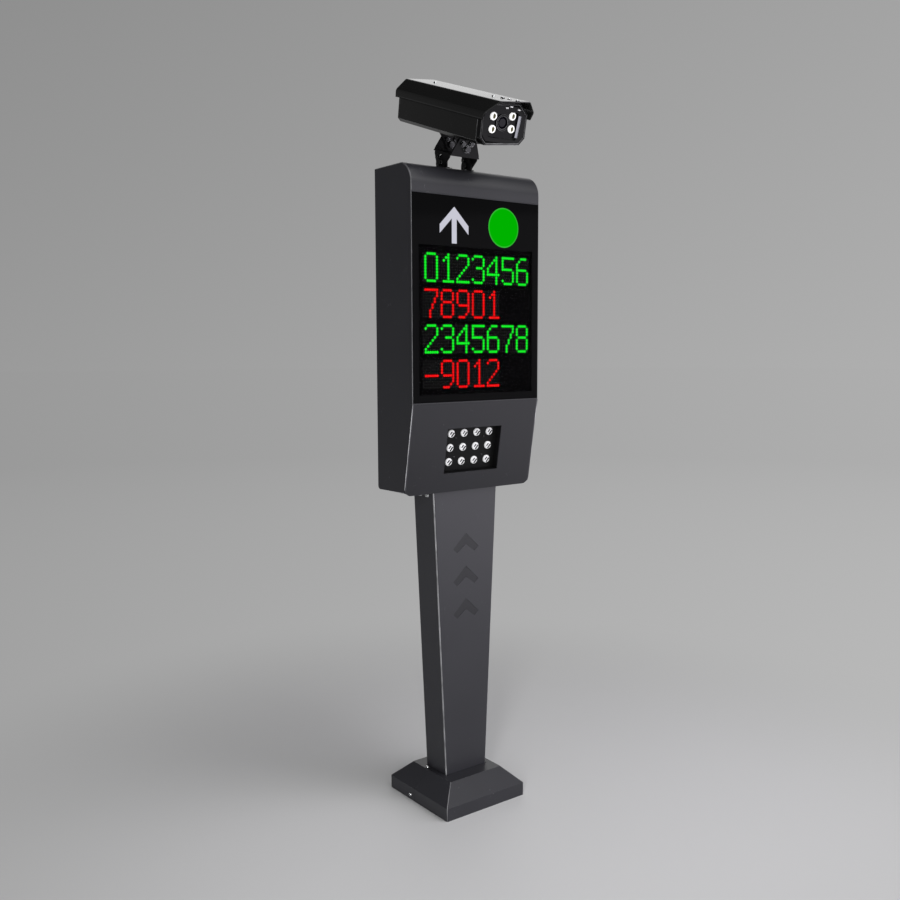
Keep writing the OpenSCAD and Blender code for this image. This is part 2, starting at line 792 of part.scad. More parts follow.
// Walls of the cabinet from x0 to x1, with all their openings
module cabinet_walls(x0, x1, lip = false) difference() {
    along_x(x0, x1) cabinet_profile(0, lip);
    difference() {
        along_x(-inner_x, inner_x) cabinet_profile(sheet);
        slab(-cabinet_w, cabinet_w, -front_reach - 1, flange_back, display_z0 - sheet, display_z1 + sheet);
    }
    slab(-cabinet_w, cabinet_w, -front_reach - 9, frame_back, display_z0, display_z1);
    slab(-(half_w - opening_in), half_w - opening_in, -front_reach, flange_back + 1,
        display_z0 + opening_in, display_z1 - opening_in + 2);
    slab(-door_x, door_x, rear_in - 1, rear_reach + 1, door_z0, door_z1);
    on_slant() slab(-light_w / 2, light_w / 2, light_t - light_h / 2, light_t + light_h / 2, -sheet - 3, 3);
    rod_z(riser_d / 2, cabinet_z - 1, cabinet_z + sheet + 1);
    spigot_bolt_places() rod_z(spigot_bolt_d / 2 + screw_fit, -1, sheet + 1);
    pan_bolt_places() rod_z(pan_bolt_d / 2 + screw_fit, -sheet - 1, 1);
}

module display_frame() color(charcoal) {
    x = half_w - set_fit / 2;
    z0 = display_z0 + set_fit;
    z1 = display_z1 - set_fit;
    in = frame_rim + frame_ledge;
    difference() {
        union() {
            slab(-x, x, frame_r - front_reach, frame_back, z0, z1);
            slab(frame_r - x, x - frame_r, -front_reach, frame_back, z0, z1);
            both_x() translate([x - frame_r, frame_r - front_reach, 0]) rod_z(frame_r, z0, z1);
        }
        slab(frame_rim - x, x - frame_rim, -front_reach - 1, window_y + window_t, z0 + frame_rim, z1 - frame_rim);
        slab(in - x, x - in, -front_reach - 1, frame_back + 1, z0 + in, z1 - in);
    }
}

module display_window() color(smoke) {
    x = half_w - set_fit / 2 - frame_rim - set_fit;
    z0 = display_z0 + 2 * set_fit + frame_rim;
    z1 = display_z1 - 2 * set_fit - frame_rim;
    difference() {
        slab(-x, x, window_y, window_y + window_t, z0, z1);
        translate([lamp_x, 0, lamp_z]) rod_y(lamp_d / 2 + screw_fit, window_y - 1, window_y + window_t + 1);
    }
}

// One dot-matrix module: front plate, rear frame and ribs
module led_module(k) color(black) {
    z0 = module_z0 + k * module_h;
    z1 = z0 + module_h - module_gap;
    x = module_w / 2;
    difference() {
        slab(-x, x, module_y, module_back, z0, z1);
        for (s = [-1 : 1]) translate([s * module_w / 3, 0, 0])
            slab(4 - module_w / 6, module_w / 6 - 4, module_y + 5, module_back + 1, z0 + 6, z1 - 6);
    }
    slab(-14, 14, module_y + 5 - eps, module_back - 2, (z0 + z1) / 2 - 5, (z0 + z1) / 2 + 5);
}

module led_module_1() led_module(0);
module led_module_2() led_module(1);
module led_module_3() led_module(2);
module led_module_4() led_module(3);

module module_rails() color(alu) {
    z0 = display_z0 + 1;
    z1 = display_z1 - 1;
    both_x() translate([rail_x, 0, 0]) {
        slab(-rail_w / 2, rail_w / 2, module_back, module_back + rail_t, z0, z1);
        slab(-rail_w / 2, rail_w / 2, flange_back, module_back + eps, z0, z0 + 9);
        slab(-rail_w / 2, rail_w / 2, flange_back, module_back + eps, z1 - 8, z1);
    }
}

module lamp_cup() color(black) translate([lamp_x, 0, lamp_z]) difference() {
    rod_y(cup_r, window_y + window_t, cup_back);
    rod_y(cup_r - cup_wall, window_y + window_t - 1, cup_back - cup_wall);
    translate([0, 0, -cup_r / 2]) rod_y(5, cup_back - cup_wall - 1, cup_back + 1);
}

module lamp_board() color(board) translate([lamp_x, 0, lamp_z]) difference() {
    rod_y(cup_r - cup_wall - set_fit, cup_back - cup_wall - 1.6, cup_back - cup_wall);
    for (a = [0, 120, 240]) rotate([0, a, 0]) translate([lamp_d / 2 - 6, 0, 0]) rod_y(1.6, cup_back - 9, cup_back);
}

module lamp_lens() color(green) translate([lamp_x, 0, lamp_z]) {
    rod_y(lamp_d / 2, window_y, window_y + window_t + 2);
    rod_y(cup_r - cup_wall - set_fit, window_y + window_t, window_y + window_t + 2);
}

module light_tray() color(black) on_slant() translate([0, light_t, 0]) difference() {
    x = light_w / 2 + 0.5;
    y = light_h / 2 + 0.5;
    union() {
        slab(-x - tray_wall, x + tray_wall, -y - tray_wall, y + tray_wall, tray_floor - tray_wall, -sheet);
        slab(-x - tray_lip, x + tray_lip, -y - tray_lip, y + tray_lip, -sheet - 2, -sheet);
    }
    slab(-x, x, -y, y, tray_floor, 0);
}

module light_board() color(black) on_slant() translate([0, light_t, 0]) difference() {
    slab(-light_w / 2, light_w / 2, -light_h / 2, light_h / 2, tray_floor, -light_recess);
    for (x = [-1, 1], y = [-1, 1]) translate([1.1 * x * lens_pitch_x, y * lens_pitch_t / 1.5 + lens_lift, 0])
        rod_z(1.6, tray_floor - 1, 0);
}

module light_lenses() color(white) on_slant() translate([0, light_t + lens_lift, 0])
    for (c = [0 : lens_cols - 1], r = [0 : lens_rows - 1])
        translate([(c - (lens_cols - 1) / 2) * lens_pitch_x, (r - (lens_rows - 1) / 2) * lens_pitch_t, 0]) {
            rod_z(lens_d / 2, -light_recess, lens_rise / 2 - light_recess);
            translate([0, 0, lens_rise / 2 - light_recess])
                cylinder(h = lens_rise / 2, r1 = lens_d / 2 - 1, r2 = lens_d / 2 - 4);
        }

module light_heatsink() color(alu) on_slant() translate([0, light_t, 0]) {
    x = light_w / 2 - 6;
    y = light_h / 2 - 4;
    z = tray_floor - tray_wall;
    slab(-x, x, -y, y, z - 3, z);
    for (k = [0 : 8]) slab(-x + k * (2 * x - 2) / 8, -x + 2 + k * (2 * x - 2) / 8, -y, y, z - 3 - fin_d, z - 3 + eps);
}

module equipment_plate() color(zinc) {
    z0 = display_z0 + plate_up;
    z1 = display_z1 - plate_down;
    difference() {
        slab(-inner_x, inner_x, plate_y, plate_back, z0, z1);
        for (x = [-1, 1]) translate([x * (inner_x - 22), 0, z0 + 20]) rod_y(8, plate_y - 1, plate_back + 1);
    }
    both_x() slab(inner_x - 2, inner_x, plate_y, plate_y + 20, z0, z1);
}

module power_supply() color(alu) {
    x0 = 6 - inner_x + 14;
    z0 = display_z0 + supply_up;
    front = plate_back + supply_d;
    difference() {
        slab(x0, x0 + supply_w, plate_back, front, z0, z0 + supply_h);
        slab(x0 + supply_w - 20, x0 + supply_w + 1, plate_back + supply_d / 2, front + 1, z0 + 5, z0 + supply_h - 5);
        for (k = [0 : 7]) translate([x0 + 12 + (k + 0.5) * (supply_w - 44) / 8, 0, z0 + supply_h / 2])
            rod_y(4, front - 2, front + 1);
    }
}

module control_board() color(board) {
    x0 = 20 - inner_x;
    x1 = x0 + control_w;
    z0 = display_z0 + control_up;
    z1 = z0 + control_h;
    slab(x0, x1, plate_back + 8, plate_back + 9.6, z0, z1);
    for (x = [x0 + 6, x1 - 6], z = [z0 + 6, z1 - 6]) translate([x, 0, z]) rod_y(3, plate_back, plate_back + 8 + eps);
    slab(x0 + 40, x0 + 75, plate_back + 9.6 - eps, plate_back + 13, z0 + 25, z0 + 60);
    slab(x1 - 60, x1 - 10, plate_back + 9.6 - eps, plate_back + 22, z0 + 4, z0 + 18);
    slab(x1 - 58, x1 - 42, plate_back + 9.6 - eps, plate_back + 24, z1 - 22, z1 - 2);
}

module terminal_rail() color(zinc) {
    x1 = inner_x - 20;
    z = display_z0 + terminal_up;
    x0 = x1 - terminal_l;
    slab(x0, x1, plate_back, plate_back + 7, z - 17, z + 18);
    for (k = [0 : floor((terminal_l - 20) / terminal_w) - 1]) translate([x0 + 10 + k * terminal_w, 0, 0])
        slab(0, terminal_w - 1, plate_back + 7 - eps, plate_back + 30, z - 22, z + 22);
}

module ring_slab(x, z0, z1, w, y0, y1) {
    difference() {
        slab(-x, x, y0, y1, z0, z1);
        slab(w - x, x - w, y0 - 1, y1 + 1, z0 + w, z1 - w);
    }
}

module door_frame() color(charcoal) {
    ring_slab(door_x + frame_t, door_z0 - frame_t, door_z1 + frame_t, frame_t, rebate_y - frame_t, rear_in);
    ring_slab(door_x + frame_t, door_z0 - frame_t, door_z1 + frame_t, door_lip + frame_t, rebate_y - frame_t, rebate_y);
}

module door_gasket() color(rubber)
    ring_slab(door_x - door_lip + gasket_w + 1, door_z0 + door_lip - gasket_w - 1, door_z1 - door_lip + gasket_w + 1,
        gasket_w, rebate_y, rebate_y + gasket_t);

module rear_door() color(charcoal) difference() {
    union() {
        slab(door_gap - door_x, door_x - door_gap, rear_in, rear_reach, door_z0 + door_gap, door_z1 - door_gap);
        ring_slab(door_x - door_lip + 6, door_z0 + door_lip - 6, door_z1 - door_lip + 6, 2,
            rebate_y + gasket_t + slip, rear_in + eps);
    }
    translate([lock_x, 0, lock_z]) rod_y(lock_d / 2 + screw_fit, rear_in - 1, rear_reach + 1);
}

module hinge_knuckle(k, bore) {
    z0 = (k - 1.5) * knuckle_h + slip / 2;
    difference() {
        rod_z(hinge_r, z0, z0 + knuckle_h - slip);
        rod_z(bore, z0 - 1, z0 + knuckle_h);
    }
}

// One leaf on the +X side with the knuckles listed in own
module hinge_leaf(own, bore) {
    for (k = own) {
        hinge_knuckle(k, bore);
        z0 = (k - 1.5) * knuckle_h + slip / 2;
        difference() {
            slab(0, hinge_r + 1, rear_reach - hinge_y, rear_reach - hinge_y + leaf_t, z0, z0 + knuckle_h - slip);
            rod_z(bore, z0 - 1, z0 + knuckle_h);
        }
    }
    slab(hinge_r + 0.6, leaf_w, rear_reach - hinge_y, rear_reach - hinge_y + leaf_t, -1.5 * knuckle_h + slip / 2,
        1.5 * knuckle_h - slip / 2);
}

module hinge_places() {
    for (z = hinge_z) translate([hinge_x, hinge_y, z]) children();
}

module hinge_fixed_leaves() color(steel) hinge_places() hinge_leaf([0, 2], hinge_pin_d / 2 + run_fit);

module hinge_door_leaves() color(steel) hinge_places() mirror([1, 0, 0]) hinge_leaf([1], hinge_pin_d / 2 + run_fit);

module hinge_pins() color(steel) hinge_places() {
    rod_z(hinge_pin_d / 2, -1.5 * knuckle_h, 1.5 * knuckle_h);
    rod_z(hinge_r, 1.5 * knuckle_h, 1.5 * knuckle_h + 2);
}

module lock_barrel() color(steel) translate([lock_x, 0, lock_z]) difference() {
    union() {
        rod_y(lock_d / 2 + 3, rear_reach, rear_reach + 3);
        rod_y(lock_d / 2, lock_in, rear_reach + eps);
        translate([0, rear_in, 0]) rotate([90, 0, 0]) rod_z_hex(lock_d / 2 + 3.5, 0, 5);
    }
    rod_y(plug_r + run_fit, lock_in - 1, rear_reach + 4);
}

module lock_plug() color(steel) translate([lock_x, 0, lock_z]) difference() {
    union() {
        rod_y(plug_r, lock_in - slip - cam_t, rear_reach + 2.6);
        translate([0, lock_in - slip - cam_t, 0]) {
            slab(-cam_w / 2, cam_w / 2, 0, cam_t, cam_w / 2 - cam_l, 0);
            translate([0, 0, cam_w / 2 - cam_l]) rod_y(cam_w / 2, 0, cam_t);
            rod_y(cam_w / 2, 0, cam_t);
        }
    }
    slab(-0.8, 0.8, rear_reach - 2, rear_reach + 3, -3.6, 3.6);
}

// Frames of the bracket's moving stages
module at_bracket() {
    translate([0, bracket_y, cabinet_top]) children();
}

module at_tilt() {
    at_bracket() translate([0, 0, tilt_h]) rotate([tilt_rest, 0, 0]) children();
}

module at_lean() {
    at_tilt() translate([0, 0, lean_h]) rotate([0, -lean_rest, 0]) children();
}

module pan_bolt_places() {
    at_bracket() for (a = [pan_a, -pan_a, 180 + pan_a, 180 - pan_a])
        translate([pan_r * cos(a), pan_r * sin(a), 0]) children();
}

module pan_bolts() color(steel) pan_bolt_places()
    translate([0, 0, bracket_t + 2 * slip]) hex_bolt(pan_bolt_d, bracket_t + 2 * slip + sheet + 6, bracket_t + 2 * slip + sheet);

module bracket_base() color(black) at_bracket() difference() {
    union() {
        slab(-base_x, base_x, -24, 24, slip, slip + bracket_t);
        both_x() along_x(base_x - bracket_t, base_x) {
            translate([-base_ear_r, slip]) square([2 * base_ear_r, tilt_h - slip]);
            translate([-24, slip]) square([48, 7]);
            translate([0, tilt_h]) circle(base_ear_r);
        }
    }
    for (s = [0, 180]) rotate([0, 0, s]) translate([0, 0, -1]) linear_extrude(bracket_t + 3)
        arc_slot(pan_r, -pan_a - pan_max - 2, pan_a + pan_max + 2, pan_bolt_d + 2 * slip);
    rod_z(6, -1, bracket_t + 2);
    translate([0, 0, tilt_h]) {
        rod_x(pivot_d / 2 + screw_fit, -bracket_w, bracket_w);
        tilt_lock_place() rod_x(lock_bolt_d / 2 + screw_fit, -bracket_w, bracket_w);
    }
}

// Lock bolt behind and above the tilt pivot
module tilt_lock_place() {
    translate([0, tilt_lock_r * sin(tilt_lock_a), tilt_lock_r * cos(tilt_lock_a)]) children();
}

module tilt_bolts() color(steel) at_bracket() translate([0, 0, tilt_h]) both_x() {
    l = bracket_t + ear_gap + bracket_t + slip;
    translate([cross_x + slip, 0, 0]) rotate([0, 90, 0]) hex_bolt(pivot_d, l + 4, l);
    tilt_lock_place() translate([cross_x + slip, 0, 0]) rotate([0, 90, 0]) hex_bolt(lock_bolt_d, l + 4, l);
}

module bracket_cross() color(black) at_tilt() difference() {
    union() {
        slab(-cross_x, cross_x, -cross_y, cross_y, web_h, web_h + bracket_t);
        both_x() along_x(cross_x - bracket_t, cross_x) {
            polygon([[-27, web_h + bracket_t], [-27, web_h - 4], [2 - cross_ear_r, -4], [cross_ear_r - 2, -4],
                [27, web_h - 4], [27, web_h + bracket_t]]);
            circle(cross_ear_r);
        }
        for (s = [0, 180]) rotate([0, 0, s]) along_y(-cross_y, bracket_t - cross_y) polygon([
            [-36, web_h], [36, web_h], [36, web_h + 6], [22, lean_h + 19], [-22, lean_h + 19], [-36, web_h + 6]]);
    }
    rod_x(pivot_d / 2 + run_fit, -bracket_w, bracket_w);
    along_x(-bracket_w, bracket_w)
        arc_slot(tilt_lock_r, 90 - tilt_lock_a - tilt_down - 1, 90 - tilt_lock_a + tilt_up + 1, lock_bolt_d + 2 * slip);
    translate([0, 0, lean_h]) {
        rod_y(pivot_d / 2 + run_fit, -bracket_d, bracket_d);
        for (s = [0, 180]) rotate([0, 0, s]) along_y(-bracket_d, 0) for (a = [lean_lock_a, 180 - lean_lock_a])
            arc_slot(lean_lock_r, a - lean_max - 1, a + lean_max + 1, lock_bolt_d + 2 * slip);
    }
}

module lean_lock_places() {
    for (a = [lean_lock_a, 180 - lean_lock_a])
        translate([lean_lock_r * cos(a), 0, lean_lock_r * sin(a)]) children();
}

module bracket_saddle() color(black) at_lean() difference() {
    union() {
        slab(-34, 34, -saddle_y, saddle_y, saddle_h - bracket_t, saddle_h);
        for (s = [0, 180]) rotate([0, 0, s]) along_y(-saddle_y, bracket_t - saddle_y) {
            polygon([[-34, saddle_h], [-19, 8], [2 - saddle_ear_r, -3], [saddle_ear_r - 2, -3], [19, 8], [34, saddle_h]]);
            circle(saddle_ear_r);
        }
    }
    rod_y(pivot_d / 2 + screw_fit, -bracket_d, bracket_d);
    lean_lock_places() rod_y(lock_bolt_d / 2 + screw_fit, -bracket_d, bracket_d);
}

module lean_bolts() color(steel) at_lean() for (s = [0, 180]) rotate([0, 0, s]) {
    l = bracket_t + ear_gap + bracket_t + slip;
    translate([0, -cross_y - slip, 0]) rotate([90, 0, 0]) hex_bolt(pivot_d, l + 4, l);
    lean_lock_places() translate([0, -cross_y - slip, 0]) rotate([90, 0, 0]) hex_bolt(lock_bolt_d, l + 4, l);
}

module camera_body() color(black) at_lean() difference() {
    along_y(bezel_back, cap_front) polygon(housing_points(housing_chamfer));
    along_y(bezel_back - 1, cap_front + 1) polygon(inset(housing_points(housing_chamfer), housing_wall));
    for (y = post_y) translate([0, y, 0]) rod_z(2 + screw_fit, housing_top - 9, housing_top + 1);
}

module camera_bezel() color(black) at_lean() difference() {
    p = housing_points(bezel_chamfer);
    along_y(bezel_front, bezel_back) polygon(p);
    hull() {
        along_y(bezel_front - 1, bezel_front) polygon(inset(p, 3.5));
        along_y(glass_front - eps, glass_front) polygon(inset(p, 13));
    }
    along_y(glass_front - 2, bezel_back + 1) polygon(inset(p, 13));
    along_y(glass_front, bezel_back + 1) polygon(inset(p, 8));
}

module camera_glass() color(smoke) at_lean() difference() {
    along_y(glass_front, glass_front + glass_t) polygon(inset(housing_points(bezel_chamfer), 8 + set_fit));
    translate([0, 0, lens_z]) rod_y(barrel_d / 2 + screw_fit, glass_front - 1, glass_front + glass_t + 1);
}

module lens_barrel() color(zinc) at_lean() translate([0, 0, lens_z]) difference() {
    union() {
        rod_y(barrel_d / 2, barrel_front, bezel_back + 20);
        rod_y(barrel_d / 2 - 2, bezel_back + 20 - eps, barrel_back);
    }
    rod_y(barrel_d / 2 - 4, barrel_front - 1, barrel_front + 8);
}

module lens_glass() color(smoke) at_lean() translate([0, 0, lens_z]) {
    r = barrel_d / 2 - 4 - screw_fit;
    rod_y(r, barrel_front + 4, barrel_front + 8);
    translate([0, barrel_front + 4 + eps, 0]) rotate([90, 0, 0]) cylinder(h = 2.5, r1 = r - 0.5, r2 = r - 4);
}

module camera_lamps() color(white) at_lean()
    for (x = [-1, 1], z = [-1, 1]) translate([x * camera_lamp_x, glass_front, lens_z + z * camera_lamp_up]) rotate([90, 0, 0]) {
        rod_z(camera_lamp_d / 2, 0, 1.5);
        translate([0, 0, 1.5]) cylinder(h = 2, r1 = camera_lamp_d / 2 - 0.5, r2 = camera_lamp_d / 2 - 3);
    }

module camera_core() color(board) at_lean() {
    x = housing_half - housing_wall - housing_chamfer;
    base_z = saddle_h + housing_wall;
    top_x = min(x, top_half - 2 * housing_wall);
    slab(-top_x, top_x, barrel_back, barrel_back + 1.6, lens_z - sensor_down, lens_z + sensor_up);
    slab(-20, 20, barrel_back + 1.6 - eps, barrel_back + 24, lens_z - 18, lens_z + 18);
    slab(-x, x, barrel_back, barrel_back + core_l, base_z, base_z + 4);
    slab(-12, 12, barrel_back, barrel_back + 3, base_z, lens_z);
}

module rear_cap() color(black) at_lean() difference() {
    along_y(cap_front, cap_rear) polygon(housing_points(housing_chamfer));
    for (s = [-1, 1]) translate([s * gland_x, 0, gland_z]) rod_y(gland_r + screw_fit, cap_front - 1, cap_rear + 1);
}

module cable_glands() color(black) at_lean() for (s = [-1, 1]) translate([s * gland_x, 0, gland_z]) difference() {
    union() {
        rod_y(gland_r, cap_front - 6, cap_rear + eps);
        translate([0, cap_front, 0]) rotate([90, 0, 0]) rod_z_hex(gland_r + 4, 0, 4);
        translate([0, cap_rear, 0]) rotate([-90, 0, 0]) rod_z_hex(gland_r + 4, 0, 6);
        translate([0, cap_rear + 6 - eps, 0]) rotate([-90, 0, 0]) cylinder(h = 12, r1 = gland_r + 2.5, r2 = gland_r - 1);
    }
    rod_y(3.5, cap_front - 7, cap_rear + 20);
}

module sun_shield() color(black) at_lean() {
    w = shield_w / 2;
    t = shield_top_w / 2;
    p = [[-w, shield_skirt_z], [w, shield_skirt_z], [w, shoulder_z], [t, shield_top], [-t, shield_top], [-w, shoulder_z]];
    q = inset(p, shield_t);
    low = shield_skirt_z - 5;
    run = visor_cut / (w - t);
    skirt_cut = visor_cut + 0.55 * shield_skirt_h;
    difference() {
        along_y(shield_front, shield_rear) polygon(p);
        along_y(shield_front - 1, shield_rear + 1)
            polygon([[q[0][0], low], [q[1][0], low], q[2], q[3], q[4], q[5]]);
        both_x() translate([0, 0, low]) linear_extrude(shield_top)
            polygon([[t, shield_front - 1], [t, shield_front], [w + 5, shield_front + run * (w + 5 - t)], [w + 5, shield_front - 1]]);
        along_x(-w - 1, w + 1) polygon([
            [shield_front - 1, shoulder_z], [shield_front + visor_cut, shoulder_z],
            [shield_front + skirt_cut, shield_skirt_z], [shield_front + skirt_cut, low], [shield_front - 1, low]]);
        for (y = post_y) translate([0, y, 0]) rod_z(2 + screw_fit, shield_top - 5, shield_top + 1);
    }
}

module shield_posts() color(zinc) at_lean() for (y = post_y) translate([0, y, 0]) difference() {
    rod_z(5, housing_top, shield_top - shield_t);
    rod_z(2 + screw_fit, housing_top - 1, shield_top);
}

module shield_screws() color(steel) at_lean() for (y = post_y)
    translate([0, y, shield_top]) button_screw(4, shield_top - housing_top + housing_wall + 1);

base_plate();
foot_gussets();
column_shell();
column_rear_cover();
chevron_lens();
chevron_board();
spigot();
spigot_bolts();
column_screws();
base_cover_front();
base_cover_rear();
base_cover_screws();
cabinet_shell();
cabinet_sides();
cabinet_floor();
cabinet_rear();
display_frame();
display_window();
led_module_1();
led_module_2();
led_module_3();
led_module_4();
module_rails();
lamp_cup();
lamp_board();
lamp_lens();
light_tray();
light_board();
light_lenses();
light_heatsink();
equipment_plate();
power_supply();
control_board();
terminal_rail();
door_frame();
door_gasket();
hinge_fixed_leaves();
hinge_pins();
rear_door();
hinge_door_leaves();
lock_barrel();
lock_plug();
pan_bolts();
bracket_base();
tilt_bolts();
bracket_cross();
bracket_saddle();
lean_bolts();
camera_body();
camera_bezel();
camera_glass();
lens_barrel();
lens_glass();
camera_lamps();
camera_core();
rear_cap();
cable_glands();
sun_shield();
shield_posts();
shield_screws();
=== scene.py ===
"""Finishes the lane terminal's packed frame: coats, lit display, signal lamp, lamp field and camera."""

import json
import math

import bmesh
import bpy
from mathutils import Matrix, Vector

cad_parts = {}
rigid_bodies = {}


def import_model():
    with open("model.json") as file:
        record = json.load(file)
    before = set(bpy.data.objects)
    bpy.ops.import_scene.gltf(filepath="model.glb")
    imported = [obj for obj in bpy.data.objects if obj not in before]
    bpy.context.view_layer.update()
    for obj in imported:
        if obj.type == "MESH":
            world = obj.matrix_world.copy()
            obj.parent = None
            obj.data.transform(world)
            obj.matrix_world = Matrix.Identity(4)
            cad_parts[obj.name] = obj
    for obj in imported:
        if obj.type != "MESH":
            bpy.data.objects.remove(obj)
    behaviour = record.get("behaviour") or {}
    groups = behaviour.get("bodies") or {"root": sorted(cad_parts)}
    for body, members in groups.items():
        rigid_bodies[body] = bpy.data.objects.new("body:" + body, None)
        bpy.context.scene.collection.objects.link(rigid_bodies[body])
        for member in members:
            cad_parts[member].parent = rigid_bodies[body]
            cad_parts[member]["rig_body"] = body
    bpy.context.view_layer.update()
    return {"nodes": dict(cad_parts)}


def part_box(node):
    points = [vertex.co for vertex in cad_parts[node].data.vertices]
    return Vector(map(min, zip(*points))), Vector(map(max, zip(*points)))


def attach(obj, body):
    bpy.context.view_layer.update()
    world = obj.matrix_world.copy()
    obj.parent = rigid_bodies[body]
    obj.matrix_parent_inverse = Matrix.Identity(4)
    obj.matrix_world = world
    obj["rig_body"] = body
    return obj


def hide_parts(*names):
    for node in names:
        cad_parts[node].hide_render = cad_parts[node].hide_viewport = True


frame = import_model()
NODES = frame["nodes"]

bl_info = {
    "name": "Lane terminal finish",
    "version": (1, 0, 0),
    "blender": (4, 5, 0),
    "location": "View3D > Sidebar > Terminal",
    "description": "Coats, lights and fittings of a plate reading lane terminal",
    "category": "Object",
}

MM = 0.001
FRONT = Vector((0.0, -1.0, 0.0))
CAMERA_FRONT = Vector((0.0, -1.0, -0.3))

# When points count as one, faces as flat, and an edge as a fold, a cut edge or sharp
MERGE_DISTANCE = 0.005 * MM
FLAT_ANGLE = math.radians(0.6)
FOLD_ANGLE = math.radians(20)
CUT_ANGLE = math.radians(35)
SHARP_ANGLE = math.radians(32)
TURNED_ANGLE = math.radians(40)
FOLD_AREA = 6e-4
# Rounding of a sheet's rim as a share of a fold's, and of bolt heads and the lens barrel over a screw's
RIM_SHARE = 0.25
BOLT_RIM = 4
BARREL_RIM = 2
# Where the lip of the slanted front, the side walls' edges and the display's notch begin
LIP_HEIGHT = 0.022
LIP_START = 0.160
SIDE_START = 0.008
NOTCH_MARGIN = 0.003
# How far a face leans before it counts as facing a direction
EDGE_LEAN = 0.3
FACING_LEAN = 0.7
SLANT_LEAN = 0.05
FLAT_LEAN = 0.2
CORNER_LEAN = 0.45
RIDGE_SHARE = 0.5
FACE_LEAN = 0.9

# Rows of dots in a digit, cells of dots on the display, and the sides and crown of a dot
GLYPH_ROWS = 10
CELL_COLUMNS = 7
CELL_ROWS = 12
TEXT_CELLS = 7
DOT_SIDES = 12
DOT_CROWN = 0.42

# Scales of the dust's noise
FLECKS = 26.0
SPECKS = 420.0

LENS_SIDES = 28
SCREW_SIDES = 16
# Profiles as shares of the radius and of the rise
FIELD_LENS = ((1.0, 0.0), (1.0, 0.55), (0.93, 0.85), (0.8, 1.0), (0.42, 0.96), (0.36, 0.86), (0.0, 0.84))
CAMERA_LENS = ((1.0, 0.0), (1.0, 0.7), (0.94, 0.95), (0.8, 1.0), (0.0, 1.0))
BOARD_SCREW = ((1.0, 0.0), (1.0, 0.4), (0.7, 0.75), (0.0, 0.8))
# The dark bars are a painted reflection on the field lenses.
# Dark bars of a field lens: name, then place, reach and width as shares of the radius and the slash
FIELD_BARS = (("field_bars_long", 0.38, 0.66, 1.3), ("field_bars_short", -0.32, 0.44, 1.0))
BAR_LEAN = math.radians(-38)
BAR_LEVEL = 0.96
BAR_DEPTH = 0.16
# Places of the board's screws between the outer lenses, across and up
BOARD_SPOTS = tuple((u, v) for u in (0.133, 0.867) for v in (0.167, 0.833))
# Crescent in a camera lamp: its angles in degrees, and its reach out, in and up as shares of the radius
CRESCENT_ANGLES = range(-80, 81, 16)
CRESCENT_OUT = 0.55
CRESCENT_IN = -0.28
CRESCENT_UP = 0.62
CRESCENT_FILM = 0.15 * MM

# Right half of the outlines of the camera's flat rim about the lens axis, across and up
RIM_OUTER = ((0.039, -0.0385), (0.053, -0.0245), (0.053, 0.0175), (0.034, 0.0335))
RIM_INNER = ((0.0335, -0.0305), (0.0395, -0.0245), (0.0395, 0.0175), (0.0300, 0.0225))
RIM_DEPTH = 1.2 * MM
RIM_SINK = 1.4 * MM
STRIP_GAP = 0.2 * MM
# Bright bars on the rim as painted glints, across and up, and screws on the shield, across and out
BAR_PLACES = ((-0.0014, 0.0289), (0.0096, 0.0325), (0.0300, 0.0290))
BAR_HALF = (3.0 * MM, 1.2 * MM)
SHIELD_SCREWS = ((-0.0005, -0.0128), (-0.0171, 0.0294), (0.0047, 0.0287))
SHIELD_RISE = 0.045
# Shield screws: name, radius, height at the rim and in the middle in millimetres, and finish
SHIELD_PARTS = (
    ("shield_washers", 4.4, 1.2, 1.3, "dark_washer"), ("shield_heads", 2.6, 2.0, 2.4, "bright_plate"))

# Studio lamps: name, azimuth, elevation, distance, size, power, height aimed at and colour
STUDIO_LAMPS = (
    ("edge_strip", -45, 1, 2.7, (0.35, 2.0), 45.0, 1.0, (1.0, 1.0, 1.0)),
    ("front_softbox", 40, 0, 2.0, (1.6, 1.5), 15.0, 0.78, (1.0, 0.965, 1.06)),
    ("top_softbox", 20, 50, 2.6, (2.0, 2.0), 42.0, 1.0, (1.0, 1.0, 1.0)))
FLOOR_RADIUS = 40.0
FLOOR_SIDES = 64
# Grain and tones of the floor, where it fades, where its horizon is soft and how its glow falls
FLOOR_GRAIN = (300.0, 2.0)
FLOOR_TONES = (0.985, 1.015)
FLOOR_FADE = (0.35, 1.5)
HORIZON_SOFT = 1.6
FLOOR_GLOW = (1.16, 1.0)
GLOW_REACH = (2.0, 9.0)
# Strength and edge of the pale patch in the sky
PATCH_GLOW = 0.82
PATCH_EDGE = (0.90, 0.965)
# Width of the photo in pixels and of the sensor in millimetres, and the far end of the view
PICTURE_PIXELS = 900.0
SENSOR_MM = 36.0
VIEW_END = 200.0

